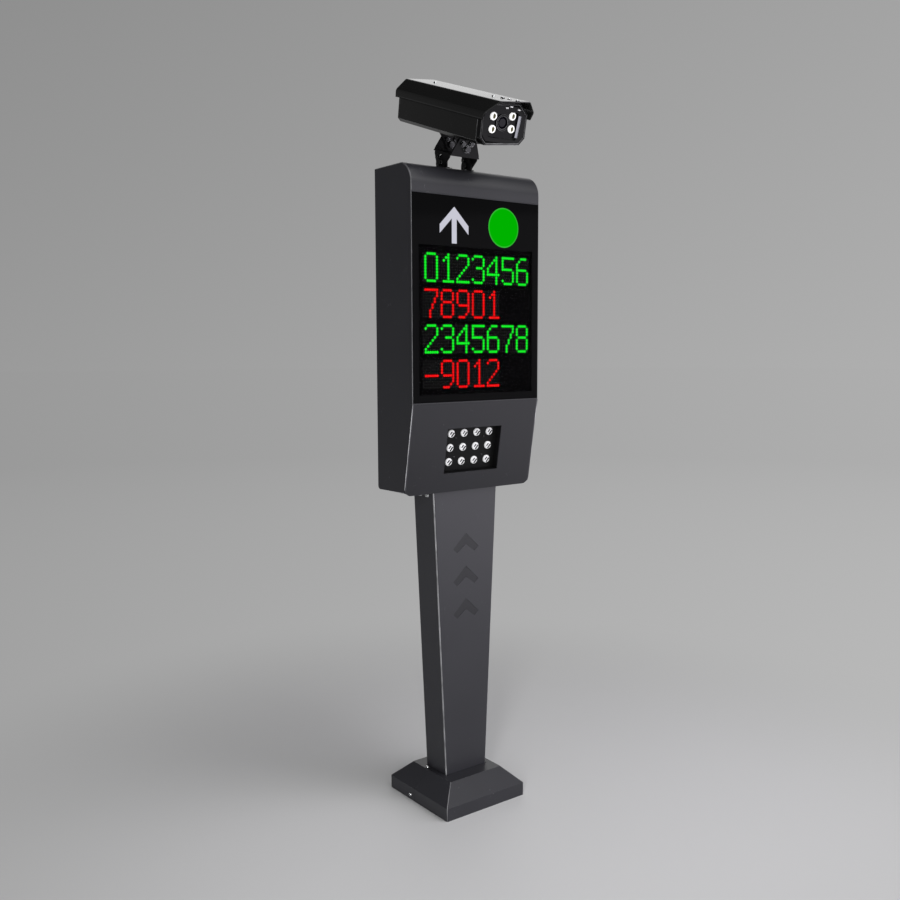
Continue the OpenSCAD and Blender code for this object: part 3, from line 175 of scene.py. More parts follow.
# Dot rows of each digit from the top down, six dots across
DIGITS = {
    "0": ".####. #....# #....# #....# #....# #....# #....# #....# #....# .####.",
    "1": "...#.. ..##.. .#.#.. ...#.. ...#.. ...#.. ...#.. ...#.. ...#.. .#####",
    "2": ".####. #....# .....# .....# ....#. ...#.. ..#... .#.... #..... ######",
    "3": ".####. #....# .....# .....# ..###. .....# .....# .....# #....# .####.",
    "4": "....#. ...##. ..#.#. .#..#. #...#. #...#. ###### ....#. ....#. ....#.",
    "5": "###### #..... #..... #..... #####. .....# .....# .....# #....# .####.",
    "6": "..###. .#.... #..... #..... #####. #....# #....# #....# #....# .####.",
    "7": "###### .....# .....# ....#. ....#. ...#.. ...#.. ..#... ..#... ..#...",
    "8": ".####. #....# #....# #....# .####. #....# #....# #....# #....# .####.",
    "9": ".####. #....# #....# #....# #....# .##### .....# .....# ....#. .###..",
    "-": "...... ...... ...... ...... ...... ###### ...... ...... ...... ......",
}


def prop(kind, **fixed):
    """A short way to declare properties of one kind."""
    return lambda name, text, value, **more: kind(
        name=name, description=text, default=value, **fixed, **more)


colour_prop = prop(bpy.props.FloatVectorProperty, size=3, min=0.0, max=1.0, subtype="COLOR")
length_prop = prop(bpy.props.FloatProperty, min=0.0, unit="LENGTH", subtype="DISTANCE")
number_prop = prop(bpy.props.FloatProperty)
angle_prop = prop(bpy.props.FloatProperty, subtype="ANGLE")
place_prop = prop(bpy.props.FloatVectorProperty, size=2, unit="LENGTH")
vector_prop = prop(bpy.props.FloatVectorProperty, size=3)
digits_prop = prop(bpy.props.StringProperty)


class CoatSettings(bpy.types.PropertyGroup):
    """Colours and edge rounding of the coated metal."""

    charcoal: colour_prop("Charcoal", "Powder coat of cabinet, column and base", (0.021, 0.021, 0.025))
    black: colour_prop("Black", "Matt coat of the camera's rim and bracket", (0.004, 0.004, 0.0044))
    satin: colour_prop("Satin", "Satin coat of the camera and its shield", (0.0075, 0.0075, 0.0075))
    grain: number_prop("Grain", "Grains of powder in a metre", 850.0, min=1.0)
    fold: length_prop("Fold", "Rounding of folded sheet edges", 1.2 * MM)
    shield: length_prop("Shield", "Rounding of the sun shield's folds", 3.6 * MM)
    side: length_prop("Side", "Rounding of the edges round the side walls", 2.0 * MM)
    # The worn colours below are painted highlights along the folds.
    worn: colour_prop("Worn", "Rubbed folds of the charcoal coat", (0.50, 0.50, 0.52))
    worn_black: colour_prop("Worn black", "Rubbed folds of the black coat", (0.15, 0.15, 0.155))
    plate: length_prop("Plate", "Rounding of cut plate edges", 0.5 * MM)
    bolt: length_prop("Bolt", "Rounding of bolt and screw edges", 0.3 * MM)


class DisplaySettings(bpy.types.PropertyGroup):
    """Dots, colours and digits of the lit display."""

    row_1: digits_prop("Row 1", "Digits of the top row", "0123456")
    row_2: digits_prop("Row 2", "Digits of the second row", "78901")
    row_3: digits_prop("Row 3", "Digits of the third row", "2345678")
    row_4: digits_prop("Row 4", "Digits of the bottom row", "-9012")
    pitch_across: length_prop("Pitch across", "Spacing of the dots along a row", 5.82 * MM)
    pitch_up: length_prop("Pitch up", "Spacing of the dots up a column", 6.03 * MM)
    dot: length_prop("Dot", "Diameter of a lit dot", 5.9 * MM)
    unlit: length_prop("Unlit", "Diameter of an unlit dot", 2.5 * MM)
    dot_rise: length_prop("Dot rise", "Height of a dot above its module", 1.0 * MM)
    first_dot: place_prop("First dot", "Centre of the top left dot, across and up", (-0.1371, 1.1966))
    green: colour_prop("Green", "Lit green dots", (0.006, 0.9, 0.022))
    red: colour_prop("Red", "Lit red dots", (0.86, 0.004, 0.005))
    glow: number_prop("Glow", "Strength of a lit dot", 6.4, min=0.0)


class SignSettings(bpy.types.PropertyGroup):
    """Arrow sign beside the signal lamp, and the lamp itself."""

    width: length_prop("Width", "Width of the arrow", 0.074)
    height: length_prop("Height", "Height of the arrow", 0.074)
    stroke: length_prop("Stroke", "Width of the arrow's strokes", 0.0125)
    centre: place_prop("Centre", "Middle of the arrow, across and up", (-0.0622, 1.2562))
    film: length_prop("Film", "Thickness of the arrow's film", 0.35 * MM)
    colour: colour_prop("Colour", "Pale grey of the arrow", (0.57, 0.57, 0.65))
    lamp: colour_prop("Lamp", "Green of the lit signal lamp", (0.0, 0.43, 0.0))


class LampSettings(bpy.types.PropertyGroup):
    """Lenses of the lamp field and of the camera."""

    lens_rise: length_prop("Lens rise", "Height of a field lens above its board", 3.2 * MM)
    # The dark bars on the field lenses are a painted reflection.
    slash: length_prop("Slash", "Width of a dark bar in a field lens", 2.3 * MM)
    lens_share: number_prop(
        "Lens share", "Clear part of a field lens's diameter", 0.9, min=0.1, max=1.0)
    board_screw: length_prop("Board screw", "Head diameter of the field board's screws", 4.4 * MM)
    camera_lamp: length_prop("Camera lamp", "Diameter of a camera lamp", 15.8 * MM)
    camera_rise: length_prop("Camera lamp rise", "Height of a camera lamp above the glass", 3.2 * MM)
    recess: length_prop("Recess", "Depth of the camera's glass behind its rim", 8.0 * MM)
    # The pale strip glows as painted light.
    strip: length_prop("Strip", "Thickness of the pale strip beside the lens", 0.6 * MM)


class StageSettings(bpy.types.PropertyGroup):
    """Camera, floor and studio lamps."""

    focal: number_prop("Focal", "Focal length in pixels of 900", 985.2)
    station: vector_prop(
        "Station", "Where the camera stands", (-1.30796, -1.71335, 1.01392),
        unit="LENGTH", subtype="XYZ")
    azimuth: angle_prop("Azimuth", "Side the camera stands on", math.radians(-37.03))
    pitch: angle_prop("Pitch", "How far the camera looks down", math.radians(6.13))
    roll: angle_prop("Roll", "Turn of the camera about its view", math.radians(-0.21))
    floor: colour_prop("Floor", "Pale grey of the floor", (0.68, 0.68, 0.685))
    tone: number_prop("Tone", "Grey around the studio", 0.372, min=0.0)
    tone_slope: vector_prop(
        "Tone slope", "How the grey changes towards each axis", (0.096, -0.072, -0.174), subtype="XYZ")
    rim: vector_prop(
        "Rim", "Direction of the pale patch behind", (0.587, 0.700, 0.407), subtype="DIRECTION")


SETTINGS = {
    "terminal_coats": CoatSettings,
    "terminal_display": DisplaySettings,
    "terminal_sign": SignSettings,
    "terminal_lamps": LampSettings,
    "terminal_stage": StageSettings,
}
MATERIALS = {}


def settings(name):
    return getattr(bpy.context.scene, "terminal_" + name)


def link(obj):
    bpy.context.scene.collection.objects.link(obj)
    return obj


def baked(obj):
    """Turns an object's modifiers into a plain mesh."""
    graph = bpy.context.evaluated_depsgraph_get()
    mesh = bpy.data.meshes.new_from_object(
        obj.evaluated_get(graph), preserve_all_data_layers=True, depsgraph=graph)
    obj.modifiers.clear()
    obj.data = mesh
    return obj


def smoothed(obj):
    """Smooth shading that keeps flat faces flat and sharp edges sharp."""
    obj.data.shade_smooth()
    obj.data.set_sharp_from_angle(angle=SHARP_ANGLE)
    weigh = obj.modifiers.new("weigh", "WEIGHTED_NORMAL")
    weigh.keep_sharp = True
    return baked(obj)


def rounded(obj, width, segments=2):
    """Adds the bevel that rounds an object's edges."""
    bevel = obj.modifiers.new("rounding", "BEVEL")
    bevel.width = width
    bevel.segments = segments
    return bevel


def settle(obj, body, slot, *nodes):
    """Hands a finished piece to its body and hides the nodes it stands for. The slot is not used."""
    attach(obj, body)
    if nodes:
        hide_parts(*nodes)
    return obj


def merged_mesh(node):
    """A copy of a node's mesh with its triangles joined and flat faces made whole."""
    mesh = NODES[node].data.copy()
    mesh.name = node + "_finish"
    work = bmesh.new()
    work.from_mesh(mesh)
    bmesh.ops.remove_doubles(work, verts=work.verts, dist=MERGE_DISTANCE)
    bmesh.ops.dissolve_limit(work, angle_limit=FLAT_ANGLE, verts=work.verts, edges=work.edges)
    work.to_mesh(mesh)
    work.free()
    if "custom_normal" in mesh.attributes:
        mesh.attributes.remove(mesh.attributes["custom_normal"])
    return mesh


def weigh_edges(mesh, share):
    """Gives each edge the bevel weight that a function of the edge puts on it."""
    work = bmesh.new()
    work.from_mesh(mesh)
    layer = work.edges.layers.float.new("bevel_weight_edge")
    for edge in work.edges:
        edge[layer] = share(edge)
    work.to_mesh(mesh)
    work.free()


def weigh_folds(mesh, rim=RIM_SHARE):
    """Marks folds between large faces in full and the rims of the sheet in part."""
    def share(edge):
        if len(edge.link_faces) != 2 or edge.calc_face_angle_signed(0.0) < FOLD_ANGLE:
            return 0.0
        return 1.0 if min(face.calc_area() for face in edge.link_faces) > FOLD_AREA else rim

    weigh_edges(mesh, share)


def weigh_shield(mesh):
    """Marks only the folds between large faces."""
    weigh_folds(mesh, 0.0)


def weigh_side(mesh):
    """Marks the front, top and bottom edges of the side walls' outer faces, not beside the display."""
    reach = max(abs(v.co.x) for v in mesh.vertices) - MERGE_DISTANCE
    bottom = min(v.co.z for v in mesh.vertices)
    notch = [corner.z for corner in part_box("display_frame")]

    def share(edge):
        low, high = sorted(v.co.z for v in edge.verts)
        inner = any(abs(v.co.x) < reach for v in edge.verts)
        foot = low - bottom < SIDE_START and high - bottom > MERGE_DISTANCE
        beside = notch[0] - NOTCH_MARGIN < low and high < notch[1] + NOTCH_MARGIN
        normals = [f.normal for f in edge.link_faces]
        edge_on = any(n.y < -EDGE_LEAN or abs(n.z) > EDGE_LEAN for n in normals)
        return float(edge_on and not (inner or foot or beside))

    weigh_edges(mesh, share)


def weigh_lip(mesh):
    """Marks the rounded lower corners of the cabinet's slanted front."""
    top = min(v.co.z for v in mesh.vertices) + LIP_HEIGHT

    def share(edge):
        one, two = (v.co for v in edge.verts)
        slanted = any(f.normal.y < -FACE_LEAN and f.normal.z < -SLANT_LEAN for f in edge.link_faces)
        fold = edge.calc_face_angle_signed(0.0) >= FOLD_ANGLE
        corner = one.x * two.x >= 0.0 and all(p.z < top and abs(p.x) > LIP_START for p in (one, two))
        return float(slanted and fold and corner)

    weigh_edges(mesh, share)


def mark_corners(mesh):
    """Gives the rounded front corners the second finish, a painted highlight."""
    for face in mesh.polygons:
        x, y, z = face.normal
        if abs(x) > CORNER_LEAN and y < -EDGE_LEAN and abs(z) < FLAT_LEAN:
            face.material_index = 1


def mark_ridges(mesh):
    """Gives the middle of the base cover's front corners the second finish, a painted highlight."""
    for face in mesh.polygons:
        x, y = face.normal.xy
        level = math.hypot(x, y)
        if level > EDGE_LEAN and min(abs(x), -y) > RIDGE_SHARE * level:
            face.material_index = 1


def mark_front(mesh):
    """Gives the slanted panel a darker coat as painted shade, and the bend under it a darker, dull coat
    as painted shade.
    """
    mesh.materials.append(MATERIALS["panel_coat"])
    mesh.materials.append(MATERIALS["dull_heel"])
    for face in mesh.polygons:
        y, z = face.normal.yz
        if face.material_index or y > -SLANT_LEAN or z > -SLANT_LEAN:
            continue
        if z > -EDGE_LEAN:
            face.material_index = 2
        elif abs(face.center.x) < LIP_START:
            face.material_index = 3


def finished_copy(node, finish, slot, rounding=0.0, weigh=None, segments=2,
                  edge=None, mark=None, clamp=True):
    """A rounded, smooth copy of a node that stands for it, with a finish of its own on the edges."""
    mesh = merged_mesh(node)
    mesh.materials.clear()
    mesh.materials.append(MATERIALS[finish])
    if edge:
        mesh.materials.append(MATERIALS[edge])
    if mark:
        mark(mesh)
    obj = link(bpy.data.objects.new(node + "_finish", mesh))
    if rounding:
        if weigh:
            weigh(mesh)
        mesh.shade_smooth()
        bevel = rounded(obj, rounding, segments)
        # A pale edge finish paints highlights on the bevels.
        bevel.material = 1 if edge else -1
        bevel.limit_method = "WEIGHT" if weigh else "ANGLE"
        bevel.angle_limit = CUT_ANGLE
        bevel.use_clamp_overlap = clamp
        baked(obj)
    smoothed(obj)
    return settle(obj, NODES[node]["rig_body"], slot, node)


def coat_nodes(finish, *nodes):
    """Gives nodes that stay their finish."""
    for node in nodes:
        mesh = NODES[node].data
        mesh.materials.clear()
        mesh.materials.append(MATERIALS[finish])


def islands(node):
    """Centres of the separate solids of a node, and the width of the first."""
    work = bmesh.new()
    work.from_mesh(NODES[node].data)
    bmesh.ops.remove_doubles(work, verts=work.verts, dist=MERGE_DISTANCE)
    seen = set()
    boxes = []
    for start in work.verts:
        if start in seen:
            continue
        seen.add(start)
        solid = [start]
        for vert in solid:
            fresh = {edge.other_vert(vert) for edge in vert.link_edges} - seen
            seen |= fresh
            solid.extend(fresh)
        boxes.append([Vector([end(v.co[i] for v in solid) for i in range(3)]) for end in (min, max)])
    work.free()
    return [(low + high) / 2 for low, high in boxes], boxes[0][1].x - boxes[0][0].x


def facing(node, towards):
    """Direction of the largest flat side of a node near a given direction, and a point on it."""
    sides = {}
    for face in NODES[node].data.polygons:
        if face.normal.dot(towards) > FACING_LEAN:
            depth = round(face.center.dot(face.normal), 4)
            sides.setdefault((*(round(c, 2) for c in face.normal), depth), []).append(face)
    best = max(sides.values(), key=lambda faces: sum(f.area for f in faces))
    return sum((f.normal * f.area for f in best), Vector()).normalized(), best[0].center.copy()


def on_face(node, normal, level):
    """Centres of a node's solids, moved onto a flat face, and the width of the first."""
    centres, width = islands(node)
    return [c + normal * (level - c).dot(normal) for c in centres], width


def basis(normal, up=(0.0, 0.0, 1.0)):
    """Turn whose Z axis is the normal and whose Y axis is nearest to up."""
    right = Vector(up).cross(normal).normalized()
    return Matrix((right, normal.cross(right), normal)).transposed()


def new_mesh(name, work):
    """Writes a shape to a new mesh with its faces pointing outwards."""
    bmesh.ops.recalc_face_normals(work, faces=work.faces)
    mesh = bpy.data.meshes.new(name)
    work.to_mesh(mesh)
    work.free()
    return mesh


def turned(name, profile, radius, rise, sides):
    """Turns a profile, in shares of a radius and a rise, about Z up to a point on the axis."""
    work = bmesh.new()
    rings = []
    for out, up in profile[:-1]:
        rings.append([
            work.verts.new((radius * out * math.cos(a), radius * out * math.sin(a), rise * up))
            for a in (2 * math.pi * k / sides for k in range(sides))])
    rings.append([work.verts.new((0.0, 0.0, rise * profile[-1][1]))] * sides)
    for low, high in zip(rings, rings[1:]):
        for k in range(sides):
            n = (k + 1) % sides
            work.faces.new(dict.fromkeys((low[k], low[n], high[n], high[k])))
    work.faces.new(rings[0][::-1])
    mesh = new_mesh(name, work)
    mesh.shade_smooth()
    mesh.set_sharp_from_angle(angle=TURNED_ANGLE)
    return mesh


def mirrored(half):
    """A whole outline from its right half."""
    return (*half, *((-x, y) for x, y in reversed(half)))


def plate_mesh(name, outline, thickness):
    """A plate from an outline in X and Y, with its thickness along Z."""
    work = bmesh.new()
    face = work.faces.new([work.verts.new((x, y, 0.0)) for x, y in outline])
    raised = bmesh.ops.extrude_face_region(work, geom=[face])["geom"]
    top = [v for v in raised if isinstance(v, bmesh.types.BMVert)]
    bmesh.ops.translate(work, verts=top, vec=(0.0, 0.0, thickness))
    return new_mesh(name, work)


def bar_mesh(name, half_width, half_length, thickness):
    """A plate with four square corners."""
    x, y = half_width, half_length
    return plate_mesh(name, mirrored(((x, -y), (x, y))), thickness)


def ring_mesh(name, outer, inner, thickness):
    """A flat ring between two outlines with as many corners, with its thickness along Z."""
    work = bmesh.new()
    rows = [[work.verts.new((x, y, z)) for x, y in outline]
            for outline, z in ((outer, 0.0), (outer, thickness), (inner, thickness), (inner, 0.0))]
    count = len(outer)
    for low, high in zip(rows, rows[1:] + rows[:1]):
        for k in range(count):
            work.faces.new((low[k], low[(k + 1) % count], high[(k + 1) % count], high[k]))
    return new_mesh(name, work)


def opaque(colour):
    """A colour's numbers with an alpha of 1, or its link as it is."""
    return colour if isinstance(colour, bpy.types.NodeSocket) else (*colour, 1.0)


def shade(colour, factor):
    """A darker or paler shade of a colour."""
    return tuple(min(1.0, c * factor) for c in colour)


class Nodes:
    """A node tree with short ways to add nodes, whose inputs are values or links."""

    def __init__(self, tree):
        self.tree = tree

    def fill(self, socket, value):
        if isinstance(value, bpy.types.NodeSocket):
            self.tree.links.new(value, socket)
        else:
            socket.default_value = value

    def add(self, kind, inputs=None, **options):
        node = self.tree.nodes.new(kind)
        for name, value in options.items():
            setattr(node, name, value)
        for name, value in (inputs or {}).items():
            self.fill(node.inputs[name], value)
        return node

    def group(self, name, inputs):
        """Outputs of a shared shader group."""
        return self.add("ShaderNodeGroup", inputs, node_tree=shared_tree(name)).outputs

    def maths(self, operation, *values):
        return self.add("ShaderNodeMath", dict(enumerate(values)), operation=operation).outputs[0]

    def vectors(self, operation, *values):
        """A sum of vectors, or a length or product, which is a number."""
        node = self.add("ShaderNodeVectorMath", dict(enumerate(values)), operation=operation)
        return node.outputs["Value" if operation in ("DOT_PRODUCT", "DISTANCE", "LENGTH") else "Vector"]

    def parts(self, vector):
        return self.add("ShaderNodeSeparateXYZ", {"Vector": vector}).outputs

    def spread(self, value, low, high, start=0.0, end=1.0, smooth=False):
        """A number that goes from low to high while the value goes from start to end."""
        return self.add("ShaderNodeMapRange", {
            "Value": value, "From Min": start, "From Max": end, "To Min": low, "To Max": high},
            interpolation_type="SMOOTHSTEP" if smooth else "LINEAR").outputs["Result"]

    def mix(self, factor, low, high):
        """A colour between two colours."""
        node = self.add(
            "ShaderNodeMix", {"Factor": factor, "A": opaque(low), "B": opaque(high)}, data_type="RGBA")
        return next(socket for socket in node.outputs if socket.type == "RGBA")

    def tint(self, factor, colour, low, high):
        """A colour between two shades of one colour."""
        return self.mix(factor, shade(colour, low), shade(colour, high))


def open_tree(name, kind, inputs, outputs):
    """A new node group with its sockets, and the links that come in."""
    nodes = Nodes(bpy.data.node_groups.new(name, kind))
    for way, sockets in (("INPUT", inputs), ("OUTPUT", outputs)):
        for label, socket in sockets.items():
            nodes.tree.interface.new_socket(label, in_out=way, socket_type="NodeSocket" + socket)
    return nodes, nodes.add("NodeGroupInput").outputs


def open_points(name, **sockets):
    """A new Geometry Nodes tree from points and a material to a mesh."""
    return open_tree(
        name, "GeometryNodeTree", {"Points": "Geometry", **sockets, "Material": "Material"},
        {"Mesh": "Geometry"})


def end_points(nodes, start, shape, turn):
    """Ends it with a shape on the points, Realize Instances and Set Material."""
    copies = nodes.add("GeometryNodeInstanceOnPoints", {
        "Points": start["Points"], "Instance": shape, "Rotation": turn})
    real = nodes.add("GeometryNodeRealizeInstances", {"Geometry": copies.outputs["Instances"]})
    paint = nodes.add("GeometryNodeSetMaterial", {
        "Geometry": real.outputs["Geometry"], "Material": start["Material"]})
    nodes.add("NodeGroupOutput", {"Mesh": paint.outputs["Geometry"]})
    return nodes.tree


def dot_tree(name):
    """Low bevelled dots that face the front of the display."""
    nodes, start = open_points(name, Diameter="Float", Rise="Float")
    cone = nodes.add("GeometryNodeMeshCone", {
        "Vertices": DOT_SIDES,
        "Radius Bottom": nodes.maths("MULTIPLY", start["Diameter"], 0.5),
        "Radius Top": nodes.maths("MULTIPLY", start["Diameter"], DOT_CROWN),
        "Depth": start["Rise"]}, fill_type="NGON")
    return end_points(nodes, start, cone.outputs["Mesh"], (math.pi / 2, 0.0, 0.0))


def copies_tree(name):
    """Copies of one shape on points, all turned the same way."""
    nodes, start = open_points(name, Shape="Object", Turn="Vector")
    shape = nodes.add("GeometryNodeObjectInfo", {"Object": start["Shape"]})
    turn = nodes.add("FunctionNodeEulerToRotation", {"Euler": start["Turn"]})
    return end_points(nodes, start, shape.outputs["Geometry"], turn.outputs["Rotation"])


def grain_tree(name):
    """Powder grain, slow clouds and rare dust flecks that the finishes share."""
    nodes, start = open_tree(
        name, "ShaderNodeTree", {"Place": "Vector", "Grain": "Float", "Cloud": "Float"},
        {"Height": "Float", "Clouds": "Float", "Dust": "Float"})
    noises = [
        nodes.add("ShaderNodeTexNoise", {"Vector": start["Place"], "Scale": size, "Detail": detail})
        for size, detail in ((start["Grain"], 3.0), (start["Cloud"], 4.0), (FLECKS, 2.0), (SPECKS, 1.0))]
    height, clouds, flecks, specks = (noise.outputs[0] for noise in noises)
    dust = nodes.maths("MULTIPLY", nodes.spread(flecks, 0.0, 1.0, 0.60, 0.70, True),
                       nodes.spread(specks, 0.0, 1.0, 0.70, 0.76, True))
    nodes.add("NodeGroupOutput", {"Height": height, "Clouds": clouds, "Dust": dust})
    return nodes.tree


def tone_tree(name):
    """Grey of the studio in a direction: even where plain is 1, else darker on the left and overhead."""
    stage = settings("stage")
    nodes, start = open_tree(
        name, "ShaderNodeTree", {"Way": "Vector", "Plain": "Float"}, {"Tone": "Float"})
    tone = nodes.maths("ADD", nodes.vectors("DOT_PRODUCT", start["Way"], stage.tone_slope), stage.tone)
    parts = nodes.parts(start["Way"])
    for axis, near, far, low in (("X", -0.35, -0.65, 0.42), ("Z", 0.42, 0.75, 0.14)):
        dim = nodes.spread(parts[axis], 1.0, low, near, far, True)
        tone = nodes.maths("MULTIPLY", tone, nodes.maths("MAXIMUM", dim, start["Plain"]))
    nodes.add("NodeGroupOutput", {"Tone": tone})
    return nodes.tree


TREES = {
    "display_dots": dot_tree,
    "placed_copies": copies_tree,
    "coat_grain": grain_tree,
    "studio_tone": tone_tree,
}


def shared_tree(name):
    """The node group of that name, made on its first use."""
    return bpy.data.node_groups.get(name) or TREES[name](name)


def grown(name, points, tree, values):
    """Runs a Geometry Nodes tree on points with named inputs and keeps the mesh."""
    mesh = bpy.data.meshes.new(name)
    mesh.from_pydata([tuple(p) for p in points], [], [])
    obj = link(bpy.data.objects.new(name, mesh))
    modifier = obj.modifiers.new("grow", "NODES")
    modifier.node_group = shared_tree(tree)
    for item in modifier.node_group.interface.items_tree:
        if item.in_out == "INPUT" and item.name in values:
            modifier[item.identifier] = values[item.name]
    return baked(obj)


def copied(mesh, points, turn, finish, *hand_in):
    """Makes a piece with a shape's name from copies of it on points, and hands it in."""
    name = mesh.name
    shape = link(bpy.data.objects.new(name + "_shape", mesh))
    piece = grown(name, points, "placed_copies", {
        "Shape": shape, "Turn": tuple(turn.to_euler()), "Material": MATERIALS[finish]})
    bpy.data.objects.remove(shape)
    settle(piece, *hand_in)


class Finish(Nodes):
    """A material under construction."""

    def __init__(self, name):
        self.name = name
        self.material = bpy.data.materials.new(name)
        self.material.use_nodes = True
        super().__init__(self.material.node_tree)
        self.shader = self.tree.nodes["Principled BSDF"]
        self.place = self.add("ShaderNodeTexCoord").outputs["Object"]

    def grain(self, size, cloud=7.0):
        return self.group("coat_grain", {"Place": self.place, "Grain": size, "Cloud": cloud})

    def bump(self, height, strength, distance):
        return self.add("ShaderNodeBump", {
            "Strength": strength, "Distance": distance, "Height": height}).outputs["Normal"]

    def done(self, **values):
        """Fills the shader's inputs and keeps the material under its name."""
        for name, value in values.items():
            self.fill(self.shader.inputs[name.replace("_", " ")], value)
        MATERIALS[self.name] = self.material


def coat_finish(name, colour, grain, dust, rough, depth, shine):
    """Powder or satin coat with grain, clouds and a little dust."""
    finish = Finish(name)
    out = finish.grain(grain)
    finish.done(
        Base_Color=finish.mix(out["Dust"], finish.tint(out["Clouds"], colour, 0.86, 1.16), dust),
        Roughness=finish.spread(out["Clouds"], *rough),
        Normal=finish.bump(out["Height"], depth, 0.12 * MM),
        Specular_IOR_Level=shine)


def painted_highlight_finish(name, coat, highlight_colour, fade=None):
    """Coat painted pale along a fold as a painted highlight, and less so above the two heights of its
    fade.
    """
    finish = Finish(name)
    out = finish.grain(900.0, 34.0)
    highlight_share = finish.spread(out["Clouds"], 0.35, 1.0, 0.3, 0.62)
    if fade:
        height = finish.spread(finish.parts(finish.place)["Z"], 1.0, 0.16, *fade, smooth=True)
        highlight_share = finish.maths("MULTIPLY", highlight_share, height)
    finish.done(
        Base_Color=finish.mix(highlight_share, coat, highlight_colour),
        Roughness=finish.spread(out["Height"], 0.25, 0.4),
        Specular_IOR_Level=0.4)


def mottled(name, colour, shades, grain, rough, bump=None, lit=None, stretch=None, **values):
    """A finish whose colour and light vary with the clouds, and its sheen and relief with the grain."""
    finish = Finish(name)
    if stretch:
        finish.place = finish.add(
            "ShaderNodeMapping", {"Vector": finish.place, "Scale": stretch}).outputs["Vector"]
    out = finish.grain(*grain)
    if bump:
        values["Normal"] = finish.bump(out["Height"], *bump)
    if lit:
        values["Emission_Color"] = finish.tint(out["Clouds"], colour, *lit)
    finish.done(
        Base_Color=finish.tint(out["Clouds"], colour, *shades),
        Roughness=finish.spread(out["Height"], *rough) if isinstance(rough, tuple) else rough, **values)


def metal_finish(name, colour, rough, stretch=None):
    """Plated or plain metal with fine streaks."""
    mottled(name, colour, (0.82, 1.08), (1400.0, 60.0), rough, (0.12, 0.05 * MM), None, stretch,
            Metallic=1.0)


def moulded_finish(name, colour, rough, depth=0.15, grain=1600.0, shine=0.35):
    """Moulded plastic or rubber with a faint texture."""
    mottled(name, colour, (0.85, 1.2), (grain, 14.0), rough, (depth, 0.08 * MM),
            Specular_IOR_Level=shine)


def lit_finish(name, colour, glow, cloud=400.0, low=0.8, high=1.08, shine=0.15):
    """A glowing part whose brightness varies a little over its face; on unlit dots and the pale strip
    the glow is painted light.
    """
    mottled(name, colour, (0.06, 0.1), (900.0, cloud), 0.4, None, (low, high),
            Emission_Strength=glow, Specular_IOR_Level=shine)


def lamp_finish(colour, low, high):
    """Lit signal lens, a little paler towards its rim."""
    finish = Finish("signal_green")
    middle = (low + high) / 2
    away = finish.vectors("DISTANCE", finish.place, (middle.x, low.y, middle.z))
    width = high.x - low.x
    rim = finish.spread(away, 0.0, 1.0, 0.44 * width, 0.5 * width, True)
    finish.done(
        Base_Color=finish.tint(rim, colour, 0.02, 0.06),
        Emission_Color=finish.mix(rim, colour, tuple(c + 0.06 for c in colour)),
        Emission_Strength=1.0, Roughness=0.35, Specular_IOR_Level=0.0)


def window_finish(low, high):
    """Polished smoked sheet that is printed black around the field of dots."""
    finish = Finish("smoked_window")
    parts = finish.parts(finish.place)
    inside = finish.maths("MULTIPLY", *(
        finish.maths("COMPARE", parts[axis], (start + end) / 2, (end - start) / 2)
        for axis, start, end in (("X", low.x, high.x), ("Z", low.z, high.z))))
    finish.done(
        Base_Color=finish.mix(inside, (0.0030, 0.0030, 0.0032), (0.0006, 0.0006, 0.0007)),
        Roughness=finish.spread(finish.grain(500.0, 11.0)["Clouds"], 0.05, 0.11),
        Alpha=finish.spread(inside, 1.0, 0.6),
        Specular_IOR_Level=0.012)


def clear_finish(name, colour, rough, glow):
    """Frosted clear lens whose glow is painted light for the light it takes."""
    mottled(name, colour, (0.86, 1.0), (700.0, 90.0), rough, None, (0.8, 1.0),
            Coat_Weight=0.3, Coat_Roughness=0.08, Emission_Strength=glow)


def board_finish(name, mask, copper, shine=0.4):
    """Circuit laminate with tracks and pads under its mask."""
    finish = Finish(name)
    flat = finish.add("ShaderNodeMapping", {"Vector": finish.place, "Rotation": (math.pi / 2, 0.0, 0.0)})
    tracks = finish.add("ShaderNodeTexBrick", {
        "Vector": flat.outputs["Vector"], "Scale": 95.0, "Mortar Size": 0.06, "Color1": opaque(mask),
        "Color2": opaque(shade(mask, 0.8)), "Mortar": opaque(copper)})
    out = finish.grain(900.0, 30.0)
    finish.done(
        Base_Color=tracks.outputs["Color"],
        Roughness=finish.spread(out["Clouds"], 0.32, 0.5),
        Normal=finish.bump(out["Height"], 0.1, 0.05 * MM),
        Specular_IOR_Level=shine)


def coated_glass_finish():
    """Dark coated glass of the camera lens."""
    finish = Finish("coated_lens")
    clouds = finish.grain(600.0, 55.0)["Clouds"]
    finish.done(
        Base_Color=finish.mix(clouds, (0.002, 0.002, 0.004), (0.005, 0.004, 0.008)),
        Roughness=finish.spread(clouds, 0.04, 0.1),
        Specular_IOR_Level=0.12)


def powder_finish(name, factor, shine):
    """The charcoal powder coat, with darker copies as painted shade and paler ones as painted light."""
    coats = settings("coats")
    colour = shade(coats.charcoal, factor)
    coat_finish(name, colour, coats.grain, (0.16, 0.16, 0.17), (0.34, 0.44), 0.22, shine)


